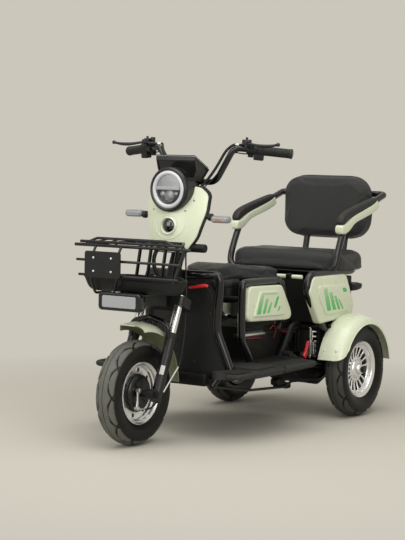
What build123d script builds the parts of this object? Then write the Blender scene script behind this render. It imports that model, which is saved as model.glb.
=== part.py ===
from build123d import *
import os
from math import cos, radians, sin, sqrt, tan

# A three-wheeled electric scooter: steered front wheel, saddle, rear bench with armrests.
# Frame: +X is the rider's left, -Y is forward, +Z is up, origin on the floor under its middle.

# ---- Driving dimensions, millimetres and degrees ----

# Wheels and stance
tyre_radius = 181.0
tyre_half_width = 42.0
rim_seat_radius = 97.0
rim_flange_radius = 108.0
rim_half_width = 27.0
rim_flange_thickness = 5.0
wheelbase = 1053.0
half_track = 283.0
axle_radius = 7.0
stub_axle_radius = 12.0
pin_gap = 0.1
rear_reach = 1366.0  # front axle to the back of the armrest loop

# Steering head
rake = 22.6
axis_setback = 60.0  # steering axis behind the front axle, at axle height
fork_offset = 30.5  # fork legs ahead of the steering axis
fork_half_spread = 78.0
slider_radius = 19.0
stanchion_radius = 14.5
slider_bottom = -40.0  # along the steering axis, from axle height
slider_top = 191.0
yoke_bottom = 300.0
yoke_top = 336.0
head_bottom = 340.0
head_top = 540.0
head_radius = 24.0
stem_radius = 14.0
bar_clamp_height = 778.0

# Handlebar
bar_radius = 11.0
grip_radius = 16.5
grip_length = 108.0
bar_half_width = 355.0
bar_sweep = 434.0
bar_end_height = 1003.0
bar_rise_top = 1022.0
bar_low = 899.0
bar_front = 356.0

# Frame and floor
rail_half_spread = 120.0
rail_radius = 14.0
rail_height = 220.0
hoop_radius = 12.5
floor_top = 250.0
floor_thickness = 14.0
floor_half_width = 236.0
floor_front = 240.0
floor_rear = 740.0
board_outer = 312.0
board_drop = 25.0
board_front = 176.0
board_rear = 702.0
board_joint = 480.0
board_corner = 40.0
mat_inner = 150.0
mat_outer = 300.0
mat_length = 150.0
mat_height = 6.0

# Leg shield
shield_top = 578.0
shield_half_width = 161.0
shield_waist = 382.0
shield_waist_half_width = 148.0
shield_foot_half_width = 203.0
shield_bottom = 226.0
shield_front = 272.0
shield_curve = 620.0
shield_thickness = 3.0
shield_tube_radius = 12.5

# Seats
seat_frame_height = 555.0
seat_frame_radius = 14.0
seat_frame_half_width = 225.0
seat_frame_front = 774.0
seat_frame_rear = 1215.0
seat_frame_low = 343.0
seat_frame_low_rear = 1204.0
bench_board_thickness = 12.0
bench_half_width = 246.0
bench_front = 965.0
bench_rear = 1205.0
bench_thickness = 62.0
bench_base_thickness = 8.0
saddle_half_width = 146.0
saddle_nose_half_width = 92.0
saddle_front = 388.0
saddle_rear = 727.0
saddle_bottom = 521.0
saddle_top = 600.0
saddle_rear_top = 581.0

# Storage box
box_half_width = 196.0
box_front = 885.0
box_rear = 1190.0
box_top = 528.0
box_wall = 4.0
box_lip = 46.0

# Armrests and backrest
loop_radius = 13.0
loop_half_width = 235.0
arm_cover_half_width = 20.0
arm_pad_half_width = 18.0
loop_rear = rear_reach - loop_radius
backrest_half_width = 200.0
backrest_bottom = 662.0
backrest_height = 258.0
backrest_front = 1275.0
backrest_thickness = 60.0
backrest_corner = 82.0
post_spacing = 176.0
post_radius = 12.5

# Rear axle and fenders
axle_tube_radius = 32.0
motor_radius = 74.0
motor_half_length = 70.0
drum_radius = 66.0
fender_radius = 213.0
fender_skirt = 180.0
fender_tail_arc = 92.0
fender_front_arc = 76.0
fender_inner = 232.0
fender_outer = 341.0
fender_thickness = 4.0

# Head panel and headlight
panel_radius = 165.0
panel_axis = 355.0
panel_thickness = 4.0
panel_gap = 6.0
panel_bottom = 656.0
panel_top = 884.0
panel_half_width = 121.0
panel_foot_half_width = 78.0
panel_foot_rounding = 34.0
panel_waist_rounding = 60.0
panel_shoulder_rounding = 50.0
lamp_height = 873.0
lamp_front = 184.0
lamp_radius = 79.0
lamp_depth = 78.0
lens_radius = 66.0
lens_thickness = 5.0

# Basket
basket_wire = 4.0
basket_rail = 5.0
strap_radius = 4.5
rear_bar_radius = 5.5
basket_front = -48.0
basket_rail_front = -26.0
basket_rear = 137.0
basket_rear_half_width = 100.0
basket_low = 579.0
basket_mid = 630.0
basket_top = 680.0
basket_low_half_width = 206.0
basket_mid_half_width = 216.0
basket_top_half_width = 240.0
pan_top = 568.0
pan_bottom = 520.0
pan_wall = 3.0
pan_rear = 112.0
pan_front_half_width = 197.0
pan_rear_half_width = 107.0
pan_rounding = 30.0
plate_bolt_spacing = 75.0
plate_bolt_rise = 46.0
plate_bolt_hole = 3.3

# ---- Derived places ----
axle_height = tyre_radius
front_axle_y = (tyre_radius - rear_reach) / 2


def back(distance):
    """Y of a place that lies this far behind the front axle."""
    return front_axle_y + distance


rear_axle_y = back(wheelbase)
front_hub = Vector(0, front_axle_y, axle_height)
steer_plane = Plane(
    origin=(0, back(axis_setback), axle_height),
    x_dir=(1, 0, 0),
    z_dir=(0, sin(radians(rake)), cos(radians(rake))),
)
rail_top = rail_height + rail_radius


def on_steer(side, behind, up):
    """A place given across, behind and along the steering axis."""
    return steer_plane.from_local_coords((side, behind, up))


def axis_y(height):
    """Y of the steering axis at a height above the floor."""
    return back(axis_setback) + (height - axle_height) * tan(radians(rake))


def axle_plane(centre):
    """A sketch plane whose x runs along the axle and whose y runs out from it, upward."""
    return Plane(origin=centre, x_dir=(1, 0, 0), z_dir=(0, -1, 0))


def add_tube(points, bend, radius):
    """Add a round tube whose centre line is straight runs joined by arcs."""
    with BuildLine() as route:
        FilletPolyline(*points, radius=bend)
    with BuildSketch(Plane(origin=route.line @ 0, z_dir=route.line % 0)) as section:
        Circle(radius)
    sweep(sections=section.sketch, path=route.line)


def add_rod(start, end, radius, mode=Mode.ADD):
    """Add a straight round rod between two places."""
    start, end = Vector(start), Vector(end)
    with BuildSketch(Plane(origin=start, z_dir=end - start)) as section:
        Circle(radius)
    extrude(section.sketch, amount=(end - start).length, mode=mode)


def add_bar(start, end, width, depth, turn=0.0):
    """Add a straight bar of rectangular section between two places."""
    start, end = Vector(start), Vector(end)
    with BuildSketch(Plane(origin=start, z_dir=end - start).rotated((0, 0, turn))) as section:
        Rectangle(width, depth)
    extrude(section.sketch, amount=(end - start).length)


def remove(*pieces):
    """Cut finished pieces out of the one in hand, so that it seats on them."""
    for piece in pieces:
        add(piece.part, mode=Mode.SUBTRACT)


def drop_scraps(piece):
    """Keep only the largest solid of the piece in hand."""
    add(piece.solids().sort_by(SortBy.VOLUME)[-1], mode=Mode.REPLACE)


os.makedirs("parts", exist_ok=True)

# ---- Wheels ----


def make_tyre(centre):
    """A tyre round an axle centre, with its beads inside the rim flanges."""
    with BuildPart() as tyre:
        with BuildSketch(axle_plane(centre)):
            with BuildLine():
                shoulder = (tyre_half_width - 7, tyre_radius - 13)
                bulge = (tyre_half_width, (rim_flange_radius + tyre_radius) / 2 - 3)
                Line((-rim_half_width, rim_seat_radius), (rim_half_width, rim_seat_radius))
                for side in (1, -1):
                    edge = side * rim_half_width
                    Line((edge, rim_seat_radius), (edge, rim_flange_radius))
                    ThreePointArc(
                        (edge, rim_flange_radius),
                        (side * bulge[0], bulge[1]),
                        (side * shoulder[0], shoulder[1]),
                    )
                ThreePointArc(
                    (shoulder[0], shoulder[1]), (0, tyre_radius), (-shoulder[0], shoulder[1])
                )
            make_face()
        revolve(axis=Axis(centre, (1, 0, 0)))
    return tyre.part


def ring(inner, outer, start, end, centre, mode=Mode.ADD):
    """Add a ring round an axle centre, between two distances along the axle."""
    with BuildSketch(axle_plane(centre)) as section:
        with BuildLine():
            Polyline((start, inner), (end, inner), (end, outer), (start, outer), close=True)
        make_face()
    revolve(section.sketch, axis=Axis(centre, (1, 0, 0)), mode=mode)


hub_radius = 46.0
spoke_count = 16
spoke_width = 10.0
spoke_ring_radius = 84.0
front_hole_circle = 78.0
barrel_thickness = 4.0
flange_face = rim_half_width + rim_flange_thickness


def add_barrel(centre):
    """Add the rim's barrel and its two flanges."""
    barrel_inner = rim_seat_radius - barrel_thickness
    ring(barrel_inner, rim_seat_radius, -rim_half_width, rim_half_width, centre)
    for side in (1, -1):
        near, far = sorted((side * rim_half_width, side * flange_face))
        ring(barrel_inner, rim_flange_radius, near, far, centre)


front_drum_face = 17.0
front_disc = 6.0
with BuildPart() as front_rim:
    add_barrel(front_hub)
    ring(axle_radius + pin_gap, 66, -24, front_drum_face, front_hub)
    ring(60, rim_seat_radius - 1, front_disc - 10, front_disc, front_hub)
    with Locations(Plane(origin=front_hub, z_dir=(1, 0, 0))):
        with PolarLocations(front_hole_circle, 8):
            Hole(7)
front_rim.part.label = "front_rim"
export_step(front_rim.part, "parts/front_rim.step")

with BuildPart() as front_tyre:
    add(make_tyre(front_hub))
front_tyre.part.label = "front_tyre"
export_step(front_tyre.part, "parts/front_tyre.step")

spoke_face = 22.0
rear_hub_inner = 241.0
for side, name in ((1, "left"), (-1, "right")):
    hub = Vector(side * half_track, rear_axle_y, axle_height)
    with BuildPart() as rear_tyre:
        add(make_tyre(hub))
    rear_tyre.part.label = f"rear_tyre_{name}"
    export_step(rear_tyre.part, f"parts/rear_tyre_{name}.step")

    with BuildPart() as rear_rim:
        add_barrel(hub)
        ends = sorted((side * (rear_hub_inner - half_track), side * (spoke_face + 12)))
        ring(stub_axle_radius + pin_gap, hub_radius, ends[0], ends[1], hub)
        ends = sorted((side * (spoke_face - 10), side * spoke_face))
        ring(spoke_ring_radius, rim_seat_radius - 1, ends[0], ends[1], hub)
        with Locations(Plane(origin=hub + Vector(side * spoke_face, 0, 0), z_dir=(-side, 0, 0))):
            with PolarLocations((hub_radius + spoke_ring_radius) / 2, spoke_count):
                Box(
                    spoke_ring_radius - hub_radius + 6,
                    spoke_width,
                    10,
                    align=(Align.CENTER, Align.CENTER, Align.MIN),
                )
    rear_rim.part.label = f"rear_rim_{name}"
    export_step(rear_rim.part, f"parts/rear_rim_{name}.step")

# ---- Front fork ----

with BuildPart() as fork_sliders:
    axle_behind = -axis_setback * cos(radians(rake))
    axle_up = -axis_setback * sin(radians(rake))
    for side in (1, -1):
        add_rod(
            on_steer(side * fork_half_spread, -fork_offset, slider_bottom),
            on_steer(side * fork_half_spread, -fork_offset, slider_top),
            slider_radius,
        )
        add_rod(
            on_steer(side * (fork_half_spread - 14), axle_behind, axle_up),
            on_steer(side * (fork_half_spread + 14), axle_behind, axle_up),
            19,
        )
        add_bar(
            on_steer(side * fork_half_spread, -fork_offset, axle_up),
            on_steer(side * fork_half_spread, axle_behind, axle_up),
            28,
            30,
        )
        add_rod(
            on_steer(side * 100, axle_behind, axle_up),
            on_steer(side * 40, axle_behind, axle_up),
            axle_radius,
            mode=Mode.SUBTRACT,
        )
fork_sliders.part.label = "fork_sliders"
export_step(fork_sliders.part, "parts/fork_sliders.step")

with BuildPart() as fork_tubes:
    for side in (1, -1):
        add_rod(
            on_steer(side * fork_half_spread, -fork_offset, slider_top),
            on_steer(side * fork_half_spread, -fork_offset, yoke_top + 4),
            stanchion_radius,
        )
fork_tubes.part.label = "fork_tubes"
export_step(fork_tubes.part, "parts/fork_tubes.step")

axle_end = 108.0
plate_face = 29.0
with BuildPart() as front_axle:
    add_rod(front_hub - Vector(axle_end, 0, 0), front_hub + Vector(axle_end, 0, 0), axle_radius)
    for side in (1, -1):
        lug = fork_half_spread + 14
        with BuildSketch(Plane(origin=front_hub + Vector(side * lug, 0, 0), z_dir=(side, 0, 0))):
            RegularPolygon(12, 6)
        extrude(amount=9)
        start, end = sorted((side * (fork_half_spread - 14), side * plate_face))
        ring(axle_radius - 1, 12, start, end, front_hub)
    remove(fork_sliders)
front_axle.part.label = "front_axle"
export_step(front_axle.part, "parts/front_axle.step")

with BuildPart() as brake_plate:
    ring(axle_radius, 64, front_drum_face + 1, plate_face, front_hub)
    chamfer(brake_plate.edges().filter_by(GeomType.CIRCLE).sort_by(Axis.X)[-1], 3)
    remove(front_axle)
brake_plate.part.label = "brake_plate"
export_step(brake_plate.part, "parts/brake_plate.step")

lamp_bar_front = -74.0
with BuildPart() as fork_yoke:
    with BuildSketch(steer_plane.offset(yoke_bottom)):
        with Locations((0, -fork_offset / 2)):
            RectangleRounded(2 * fork_half_spread + 50, fork_offset + 48, 22)
    extrude(amount=yoke_top - yoke_bottom)
    add_rod(on_steer(0, 0, yoke_top - 1), on_steer(0, 0, bar_clamp_height), stem_radius)
    add_rod(on_steer(0, 0, head_top + 1), on_steer(0, 0, head_top + 20), 22)
    with BuildSketch(Plane.XY.offset(pan_bottom - 5)):
        with Locations((0, back((lamp_bar_front + 150) / 2))):
            Rectangle(110, 150 - lamp_bar_front)
    extrude(amount=5)
    with BuildSketch(Plane.XZ.offset(-back(lamp_bar_front))):
        with Locations((0, (pan_bottom + 474) / 2)):
            Rectangle(110, pan_bottom - 474)
    extrude(amount=-5)
    with BuildSketch(Plane.XY.offset(pan_bottom)):
        with Locations((0, back(136))):
            Rectangle(90, 30)
    extrude(amount=-50)
    remove(fork_tubes)
fork_yoke.part.label = "fork_yoke"
export_step(fork_yoke.part, "parts/fork_yoke.step")

# ---- Handlebar ----

bar_points = [
    (0, axis_y(bar_low), bar_low),
    (84, axis_y(bar_low) - 2, bar_low),
    (160, back(bar_front), bar_rise_top),
    (bar_half_width, back(bar_sweep), bar_end_height),
]
bar_end = Vector(*bar_points[-1])
bar_run = (bar_end - Vector(*bar_points[-2])).normalized()
grip_start = bar_end - bar_run * grip_length

with BuildPart() as handlebar:
    add_tube(bar_points, [48, 38], bar_radius)
    mirror(about=Plane.YZ)
    with BuildSketch(steer_plane.offset(bar_clamp_height)):
        Circle(24)
    extrude(amount=28)
    remove(fork_yoke)
handlebar.part.label = "handlebar"
export_step(handlebar.part, "parts/handlebar.step")

with BuildPart() as grips:
    add_rod(grip_start, bar_end, grip_radius)
    remove(handlebar)
    mirror(about=Plane.YZ)
grips.part.label = "grips"
export_step(grips.part, "parts/grips.step")

lever_tip = Vector(bar_half_width, back(337), 1035)
perch = bar_end - bar_run * 150
with BuildPart() as hand_controls:
    add_rod(perch - bar_run * 16, perch + bar_run * 16, 19)
    add_tube([perch + Vector(0, -8, 6), perch + Vector(14, -34, 20), lever_tip], 20, 6)
    add_rod(perch, perch + Vector(-4, -8, 42), 8)
    add_rod(grip_start - bar_run * 20, grip_start, 21)
    remove(handlebar)
    mirror(about=Plane.YZ)
hand_controls.part.label = "hand_controls"
export_step(hand_controls.part, "parts/hand_controls.step")

# ---- Head panel, headlight and dash ----

lamp_plane = Plane(origin=(0, back(lamp_front), lamp_height), x_dir=(1, 0, 0), z_dir=(0, 1, 0))

with BuildPart() as headlight_lens:
    with BuildSketch(lamp_plane):
        Circle(lens_radius)
    extrude(amount=lens_thickness)
headlight_lens.part.label = "headlight_lens"
export_step(headlight_lens.part, "parts/headlight_lens.step")

with BuildPart() as headlight_shell:
    with BuildSketch(lamp_plane.offset(2)):
        Circle(lamp_radius)
    extrude(amount=lamp_depth)
    fillet(headlight_shell.edges().sort_by(Axis.Y)[0], 8)
    fillet(headlight_shell.edges().sort_by(Axis.Y)[-1], 24)
    remove(headlight_lens)
headlight_shell.part.label = "headlight_shell"
export_step(headlight_shell.part, "parts/headlight_shell.step")


def panel_sheet(depth, thickness, margin):
    """Add a curved sheet behind the panel's face, cut to the panel's outline plus a margin."""
    with BuildSketch(Plane.YZ) as profile:
        with BuildLine():
            top = (back(panel_axis - panel_radius + 34), panel_top + 10)
            waist = (back(panel_axis - panel_radius), panel_bottom + 100)
            foot = (back(panel_axis - panel_radius + 3), panel_bottom - 10)
            ThreePointArc(
                (top[0] + depth, top[1]),
                (waist[0] + depth, waist[1]),
                (foot[0] + depth, foot[1]),
            )
            ThreePointArc(
                (top[0] + depth + thickness, top[1]),
                (waist[0] + depth + thickness, waist[1]),
                (foot[0] + depth + thickness, foot[1]),
            )
            Line((top[0] + depth, top[1]), (top[0] + depth + thickness, top[1]))
            Line((foot[0] + depth, foot[1]), (foot[0] + depth + thickness, foot[1]))
        make_face()
    revolve(profile.sketch, axis=Axis((0, back(panel_axis), 0), (0, 0, 1)))
    with BuildSketch(Plane.XZ.offset(-back(panel_axis - 70))) as outline:
        with BuildLine() as edge:
            Polyline(
                (0, panel_bottom - margin),
                (panel_foot_half_width + margin, panel_bottom - margin),
                (panel_half_width + margin, panel_bottom + 120),
                (panel_half_width + margin, panel_top + margin),
                (0, panel_top + margin),
            )
            mirror(about=Plane.YZ)
        make_face()
        waist_corners = outline.vertices().filter_by_position(
            Axis.Y, panel_bottom + 100, panel_bottom + 140
        )
        foot_corners = outline.vertices().group_by(Axis.Y)[0]
        shoulders = outline.vertices().group_by(Axis.Y)[-1]
        fillet(waist_corners, panel_waist_rounding)
        fillet(foot_corners, panel_foot_rounding)
        fillet(shoulders, panel_shoulder_rounding)
    extrude(outline.sketch, amount=200, mode=Mode.INTERSECT)


horn_height = 671.0
with BuildPart() as front_panel:
    panel_sheet(0, panel_thickness, 0)
    remove(headlight_shell)
front_panel.part.label = "front_panel"
export_step(front_panel.part, "parts/front_panel.step")

with BuildPart() as panel_backing:
    panel_sheet(panel_thickness, panel_gap, 6)
    with BuildSketch(Plane.YZ):
        with BuildLine():
            Polyline(
                (back(panel_axis - panel_radius), panel_bottom + 60),
                (back(panel_axis - panel_radius), panel_bottom + 110),
                (axis_y(lamp_height), lamp_height - 20),
                (axis_y(lamp_height - 60), lamp_height - 80),
                close=True,
            )
        make_face()
    extrude(amount=14, both=True)
    add_rod(on_steer(0, 0, head_top + 30), on_steer(0, 0, bar_clamp_height - 20), 20)
    add_rod((62, back(226), horn_height), (134, back(226), horn_height), 14.5)
    remove(fork_yoke, headlight_shell, front_panel)
    drop_scraps(panel_backing)
panel_backing.part.label = "panel_backing"
export_step(panel_backing.part, "parts/panel_backing.step")


badge_height = 746.0
badge_radius = 24.0
with BuildPart() as badge_dome:
    badge_face = back(panel_axis - panel_radius) + 1
    with BuildSketch(Plane(origin=(0, badge_face, badge_height), z_dir=(0, -1, 0))):
        Circle(badge_radius)
    extrude(amount=8, both=True)
    fillet(badge_dome.edges().filter_by(GeomType.CIRCLE).sort_by(Axis.Y)[0], 6)
    remove(front_panel, panel_backing)
    add(badge_dome.solids().sort_by(Axis.Y)[0], mode=Mode.REPLACE)
badge_dome.part.label = "badge_dome"
export_step(badge_dome.part, "parts/badge_dome.step")

signal_height = 780.0
signal_y = 243.0
signal_inner = 148.0
signal_outer = 230.0
with BuildPart() as turn_signals:
    add_rod((panel_half_width - 12, back(signal_y + 8), signal_height), (signal_inner, back(signal_y), signal_height), 9)
    with BuildSketch(Plane(origin=(signal_inner, back(signal_y), signal_height), z_dir=(1, 0, 0))):
        SlotOverall(34, 26, rotation=0)
    extrude(amount=signal_outer - signal_inner)
    fillet(turn_signals.faces().sort_by(Axis.X)[-1].edges(), 9)
    remove(panel_backing, front_panel)
    drop_scraps(turn_signals)
    mirror(about=Plane.YZ)
turn_signals.part.label = "turn_signals"
export_step(turn_signals.part, "parts/turn_signals.step")

dash_half_width = 82.0
dash_front = 226.0
dash_rear = 318.0
dash_top = 990.0
with BuildPart() as dash_cover:
    with BuildSketch(Plane.YZ):
        with BuildLine():
            Polyline(
                (back(dash_front), dash_top),
                (back(dash_rear), dash_top - 46),
                (back(dash_rear - 6), lamp_height + lamp_radius - 50),
                (back(dash_front + 22), lamp_height + lamp_radius - 46),
                (back(dash_front), dash_top - 14),
                close=True,
            )
        make_face()
    extrude(amount=dash_half_width, both=True)
    with BuildSketch(Plane.XZ.offset(-back(dash_rear + 20))):
        with BuildLine():
            Polyline(
                (-dash_half_width, dash_top),
                (dash_half_width, dash_top),
                (dash_half_width, dash_top - 48),
                (52, lamp_height + 20),
                (-52, lamp_height + 20),
                (-dash_half_width, dash_top - 48),
                close=True,
            )
        make_face()
    extrude(amount=140, mode=Mode.INTERSECT)
    remove(headlight_shell, front_panel, panel_backing, fork_yoke, handlebar)
dash_cover.part.label = "dash_cover"
export_step(dash_cover.part, "parts/dash_cover.step")

# ---- Front fender ----

front_fender_radius = 241.0
front_fender_wall = 4.0
fender_edge = 52.0
front_fender_tail = 87.0
front_fender_nose = 24.0
fender_nose_behind = -28.0
lobe_behind = 15.7
lobe_rise = 86.7
lobe_radius = 132.0
flap_half_width = 27.0
flap_front = 100.0
with BuildPart() as front_fender:
    tilt = radians(front_fender_nose)
    nose_plane = Plane(origin=front_hub, x_dir=(1, 0, 0), z_dir=(0, -cos(tilt), -sin(tilt)))
    with BuildSketch(nose_plane) as section:
        with BuildLine():
            half = [(-fender_edge, -37), (6 - fender_edge, -23), (18 - fender_edge, -9), (0, 0)]
            full = half + [(-x, y) for x, y in reversed(half[:-1])]
            outer = Spline(*[(x, front_fender_radius + y) for x, y in full])
            slim = 1 - front_fender_wall / fender_edge
            inner = Spline(*[(x * slim, front_fender_radius - front_fender_wall + y) for x, y in full])
            Line(outer @ 0, inner @ 0)
            Line(outer @ 1, inner @ 1)
        make_face()
    sweep_arc = front_fender_nose + front_fender_tail
    revolve(section.sketch, axis=Axis(front_hub, (1, 0, 0)), revolution_arc=-sweep_arc)
    with BuildSketch(Plane.XY.offset(axle_height)):
        with Locations((0, back(fender_nose_behind - 100))):
            Rectangle(2 * fender_edge + 60, 200)
        with Locations((0, back(fender_nose_behind))):
            Circle(fender_edge + 2, mode=Mode.SUBTRACT)
    extrude(amount=front_fender_radius + 20, mode=Mode.SUBTRACT)
    with BuildSketch(Plane.YZ.offset(-fender_edge - 10)):
        with Locations((back(lobe_behind), axle_height + lobe_rise)):
            Circle(lobe_radius)
    extrude(amount=2 * fender_edge + 20, mode=Mode.SUBTRACT)
    with BuildSketch(Plane.XY.offset(axle_height - 60)):
        for side in (1, -1):
            with Locations((side * (flap_half_width + 40), back(flap_front + 100))):
                Rectangle(80, 200)
    extrude(amount=front_fender_radius + 80, mode=Mode.SUBTRACT)
front_fender.part.label = "front_fender"
export_step(front_fender.part, "parts/front_fender.step")

brace_radius = 10.0
with BuildPart() as fork_brace:
    brace_behind = 86.0
    brace_height = axle_height + front_fender_radius + 12
    add_tube(
        [
            on_steer(fork_half_spread, -fork_offset, slider_top - 30),
            (fork_half_spread, back(brace_behind), brace_height - 18),
            (0, back(brace_behind), brace_height),
            (-fork_half_spread, back(brace_behind), brace_height - 18),
            on_steer(-fork_half_spread, -fork_offset, slider_top - 30),
        ],
        36,
        brace_radius,
    )
    for side in (1, -1):
        add_rod(
            (side * 22, back(brace_behind), brace_height - 4),
            (side * 22, back(brace_behind), brace_height - 50),
            7.5,
        )
    remove(fork_sliders, fork_tubes, front_fender)
    drop_scraps(fork_brace)
fork_brace.part.label = "fork_brace"
export_step(fork_brace.part, "parts/fork_brace.step")

# ---- Basket ----


def pan_outline(height, inset):
    """The basket pan's outline at a height, drawn in by an inset."""
    front_y = back(basket_front + 2 + inset * 0.5)
    rear_y = back(pan_rear + 2 - inset * 0.5)
    with BuildSketch(Plane.XY.offset(height)) as outline:
        with BuildLine():
            Polyline(
                (pan_front_half_width - inset, front_y),
                (pan_rear_half_width - inset, rear_y),
                (inset - pan_rear_half_width, rear_y),
                (inset - pan_front_half_width, front_y),
                close=True,
            )
        make_face()
        fillet(outline.vertices(), 26)
    return outline.sketch


pan_rim = 10.0
pan_taper = 22.0
with BuildPart() as pan_space:
    floor_inset = pan_taper + pan_wall
    loft([pan_outline(pan_bottom + pan_wall, floor_inset), pan_outline(pan_top + 1, pan_wall)])
    fillet(pan_space.faces().sort_by(Axis.Z)[0].edges(), pan_rounding - 2 * pan_wall)
with BuildPart() as basket_pan:
    loft([pan_outline(pan_bottom, pan_taper), pan_outline(pan_top, 0)])
    fillet(basket_pan.faces().sort_by(Axis.Z)[0].edges(), pan_rounding)
    add(pan_space.part, mode=Mode.SUBTRACT)
    extrude(pan_outline(pan_top - 4, 0), amount=4)
    extrude(pan_outline(pan_top - 4, pan_rim), amount=4, mode=Mode.SUBTRACT)
basket_pan.part.label = "basket_pan"
export_step(basket_pan.part, "parts/basket_pan.step")

second_rail = 12.0
second_rail_radius = 4.5
hoop_rise = 25.0
strap_places = ((-150, -150), (-42, -72))
front_y = back(basket_front)
rail_y = back(basket_rail_front)
second_y = rail_y - 2
second_height = basket_top + second_rail
hoop_height = basket_top + hoop_rise
side_height = basket_top + 9
with BuildPart() as basket:
    for height, half in ((basket_low, basket_low_half_width), (basket_mid, basket_mid_half_width)):
        add_rod((-half, front_y, height), (half, front_y, height), basket_wire)
    add_rod((-basket_top_half_width, rail_y, basket_top), (basket_top_half_width, rail_y, basket_top), basket_rail)
    add_rod((-215, second_y, second_height), (215, second_y, second_height), second_rail_radius)
    for place in (-190, -64, 64, 190):
        add_rod((place, rail_y, basket_top), (place, second_y, second_height), 4)
    add_tube(
        [
            (-178, second_y, second_height),
            (-144, second_y, hoop_height),
            (144, second_y, hoop_height),
            (178, second_y, second_height),
        ],
        14,
        basket_wire,
    )
    for side in (1, -1):
        for low, high in ((142, 98), (88, 54), (34, 14)):
            add_rod((side * low, second_y, second_height), (side * high, second_y, hoop_height), 3.2)
basket.part.label = "basket"
export_step(basket.part, "parts/basket.step")

with BuildPart() as basket_sides:
    for side in (1, -1):
        add_rod(
            (side * 208, rail_y, basket_top),
            (side * basket_rear_half_width, back(basket_rear), side_height),
            basket_wire,
        )
    remove(basket)
    for_side = basket_sides.solids().filter_by_position(Axis.X, 0, 300).sort_by(SortBy.VOLUME)[-1]
    add(for_side, mode=Mode.REPLACE)
    mirror(about=Plane.YZ)
basket_sides.part.label = "basket_sides"
export_step(basket_sides.part, "parts/basket_sides.step")

with BuildPart() as basket_back:
    rear_y = back(basket_rear)
    half = basket_rear_half_width + 4
    add_rod((-half, rear_y, side_height), (half, rear_y, side_height), basket_wire + 1)
    for place in (-77, -31, 31, 77):
        add_rod(
            (place, rear_y, side_height),
            (place, back(pan_rear - 2), pan_top - 3),
            rear_bar_radius,
        )
    remove(basket_pan, basket_sides)
    drop_scraps(basket_back)
basket_back.part.label = "basket_back"
export_step(basket_back.part, "parts/basket_back.step")

with BuildPart() as basket_straps:
    for high, low in strap_places:
        add_tube(
            [
                (high, rail_y, basket_top),
                (high, front_y - 3, basket_mid + 12),
                (high, front_y - 3, pan_top - 8),
                (low, back(basket_front + 20), pan_bottom - 4),
                (low, back(60), pan_bottom - 4),
            ],
            [22, 20, 18],
            strap_radius,
        )
    add_rod((218, rail_y, basket_top), (184, back(basket_front + 8), pan_top - 2), strap_radius)
    remove(basket, basket_pan)
basket_straps.part.label = "basket_straps"
export_step(basket_straps.part, "parts/basket_straps.step")

plate_front = -62.0
plate_thickness = 5.0
plate_left = -172.0
plate_right = -21.0
plate_low = 572.0
plate_high = 662.0
with BuildPart() as plate_bracket:
    plate_centre = ((plate_left + plate_right) / 2, (plate_low + plate_high) / 2)
    with BuildSketch(Plane.XZ.offset(-back(plate_front))):
        with Locations(plate_centre):
            RectangleRounded(plate_right - plate_left, plate_high - plate_low, 9)
            with GridLocations(plate_bolt_spacing, plate_bolt_rise, 2, 2):
                Circle(plate_bolt_hole, mode=Mode.SUBTRACT)
    extrude(amount=-plate_thickness)
    for high, low in strap_places:
        with BuildSketch(Plane.XZ.offset(-back(plate_front))):
            with Locations((high, plate_centre[1])):
                Rectangle(14, 30)
        extrude(amount=-plate_thickness - 5)
    remove(basket, basket_pan, basket_straps)
    drop_scraps(plate_bracket)
plate_bracket.part.label = "plate_bracket"
export_step(plate_bracket.part, "parts/plate_bracket.step")

with BuildPart() as position_lamp:
    with BuildSketch(Plane.XZ.offset(-back(lamp_bar_front))):
        with Locations((0, 497.5)):
            RectangleRounded(176, 61, 14)
    extrude(amount=20)
    fillet(position_lamp.faces().sort_by(Axis.Y)[0].edges(), 5)
position_lamp.part.label = "position_lamp"
export_step(position_lamp.part, "parts/position_lamp.step")

# ---- Main frame ----

upper_rail_height = 353.0
saddle_frame_height = 484.0
hoop_half_width = 172.0
hoop_front = 409.0
hoop_foot = 522.0
bench_rod = (905.0, 345.0)
hoop_top = 540.0
hoop_rear = 752.0
with BuildPart() as main_frame:
    add_rod(on_steer(0, 0, head_bottom), on_steer(0, 0, head_top), head_radius)
    spine_top = 600.0
    add_tube(
        [
            (0, axis_y(spine_top), spine_top),
            (0, back(322), 500),
            (0, back(345), rail_height),
        ],
        90,
        19,
    )
    for side in (1, -1):
        add_tube(
            [
                (side * rail_half_spread, back(floor_front + 45), rail_height),
                (side * rail_half_spread, back(745), rail_height),
                (side * rail_half_spread, back(845), upper_rail_height),
                (side * rail_half_spread, back(1222), upper_rail_height),
            ],
            60,
            rail_radius,
        )
        add_rod(
            (side * rail_half_spread, back(1215), upper_rail_height),
            (side * rail_half_spread, back(1215), seat_frame_height - seat_frame_radius),
            12,
        )
    for along in (floor_front + 52, 345, hoop_foot, 725):
        half = hoop_half_width if along > 400 else rail_half_spread
        add_rod((-half, back(along), rail_height), (half, back(along), rail_height), 12)
    add_rod(
        (-seat_frame_half_width, back(bench_rod[0]), bench_rod[1]),
        (seat_frame_half_width, back(bench_rod[0]), bench_rod[1]),
        12,
    )
    add_rod((-rail_half_spread, back(1215), upper_rail_height), (rail_half_spread, back(1215), upper_rail_height), 12)
    for along in (920, 1186):
        add_rod((-246, back(along), upper_rail_height), (246, back(along), upper_rail_height), 7)
    add_rod(on_steer(0, 0, head_bottom - 5), on_steer(0, 0, head_top + 5), stem_radius + pin_gap, mode=Mode.SUBTRACT)
main_frame.part.label = "main_frame"
export_step(main_frame.part, "parts/main_frame.step")

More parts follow.
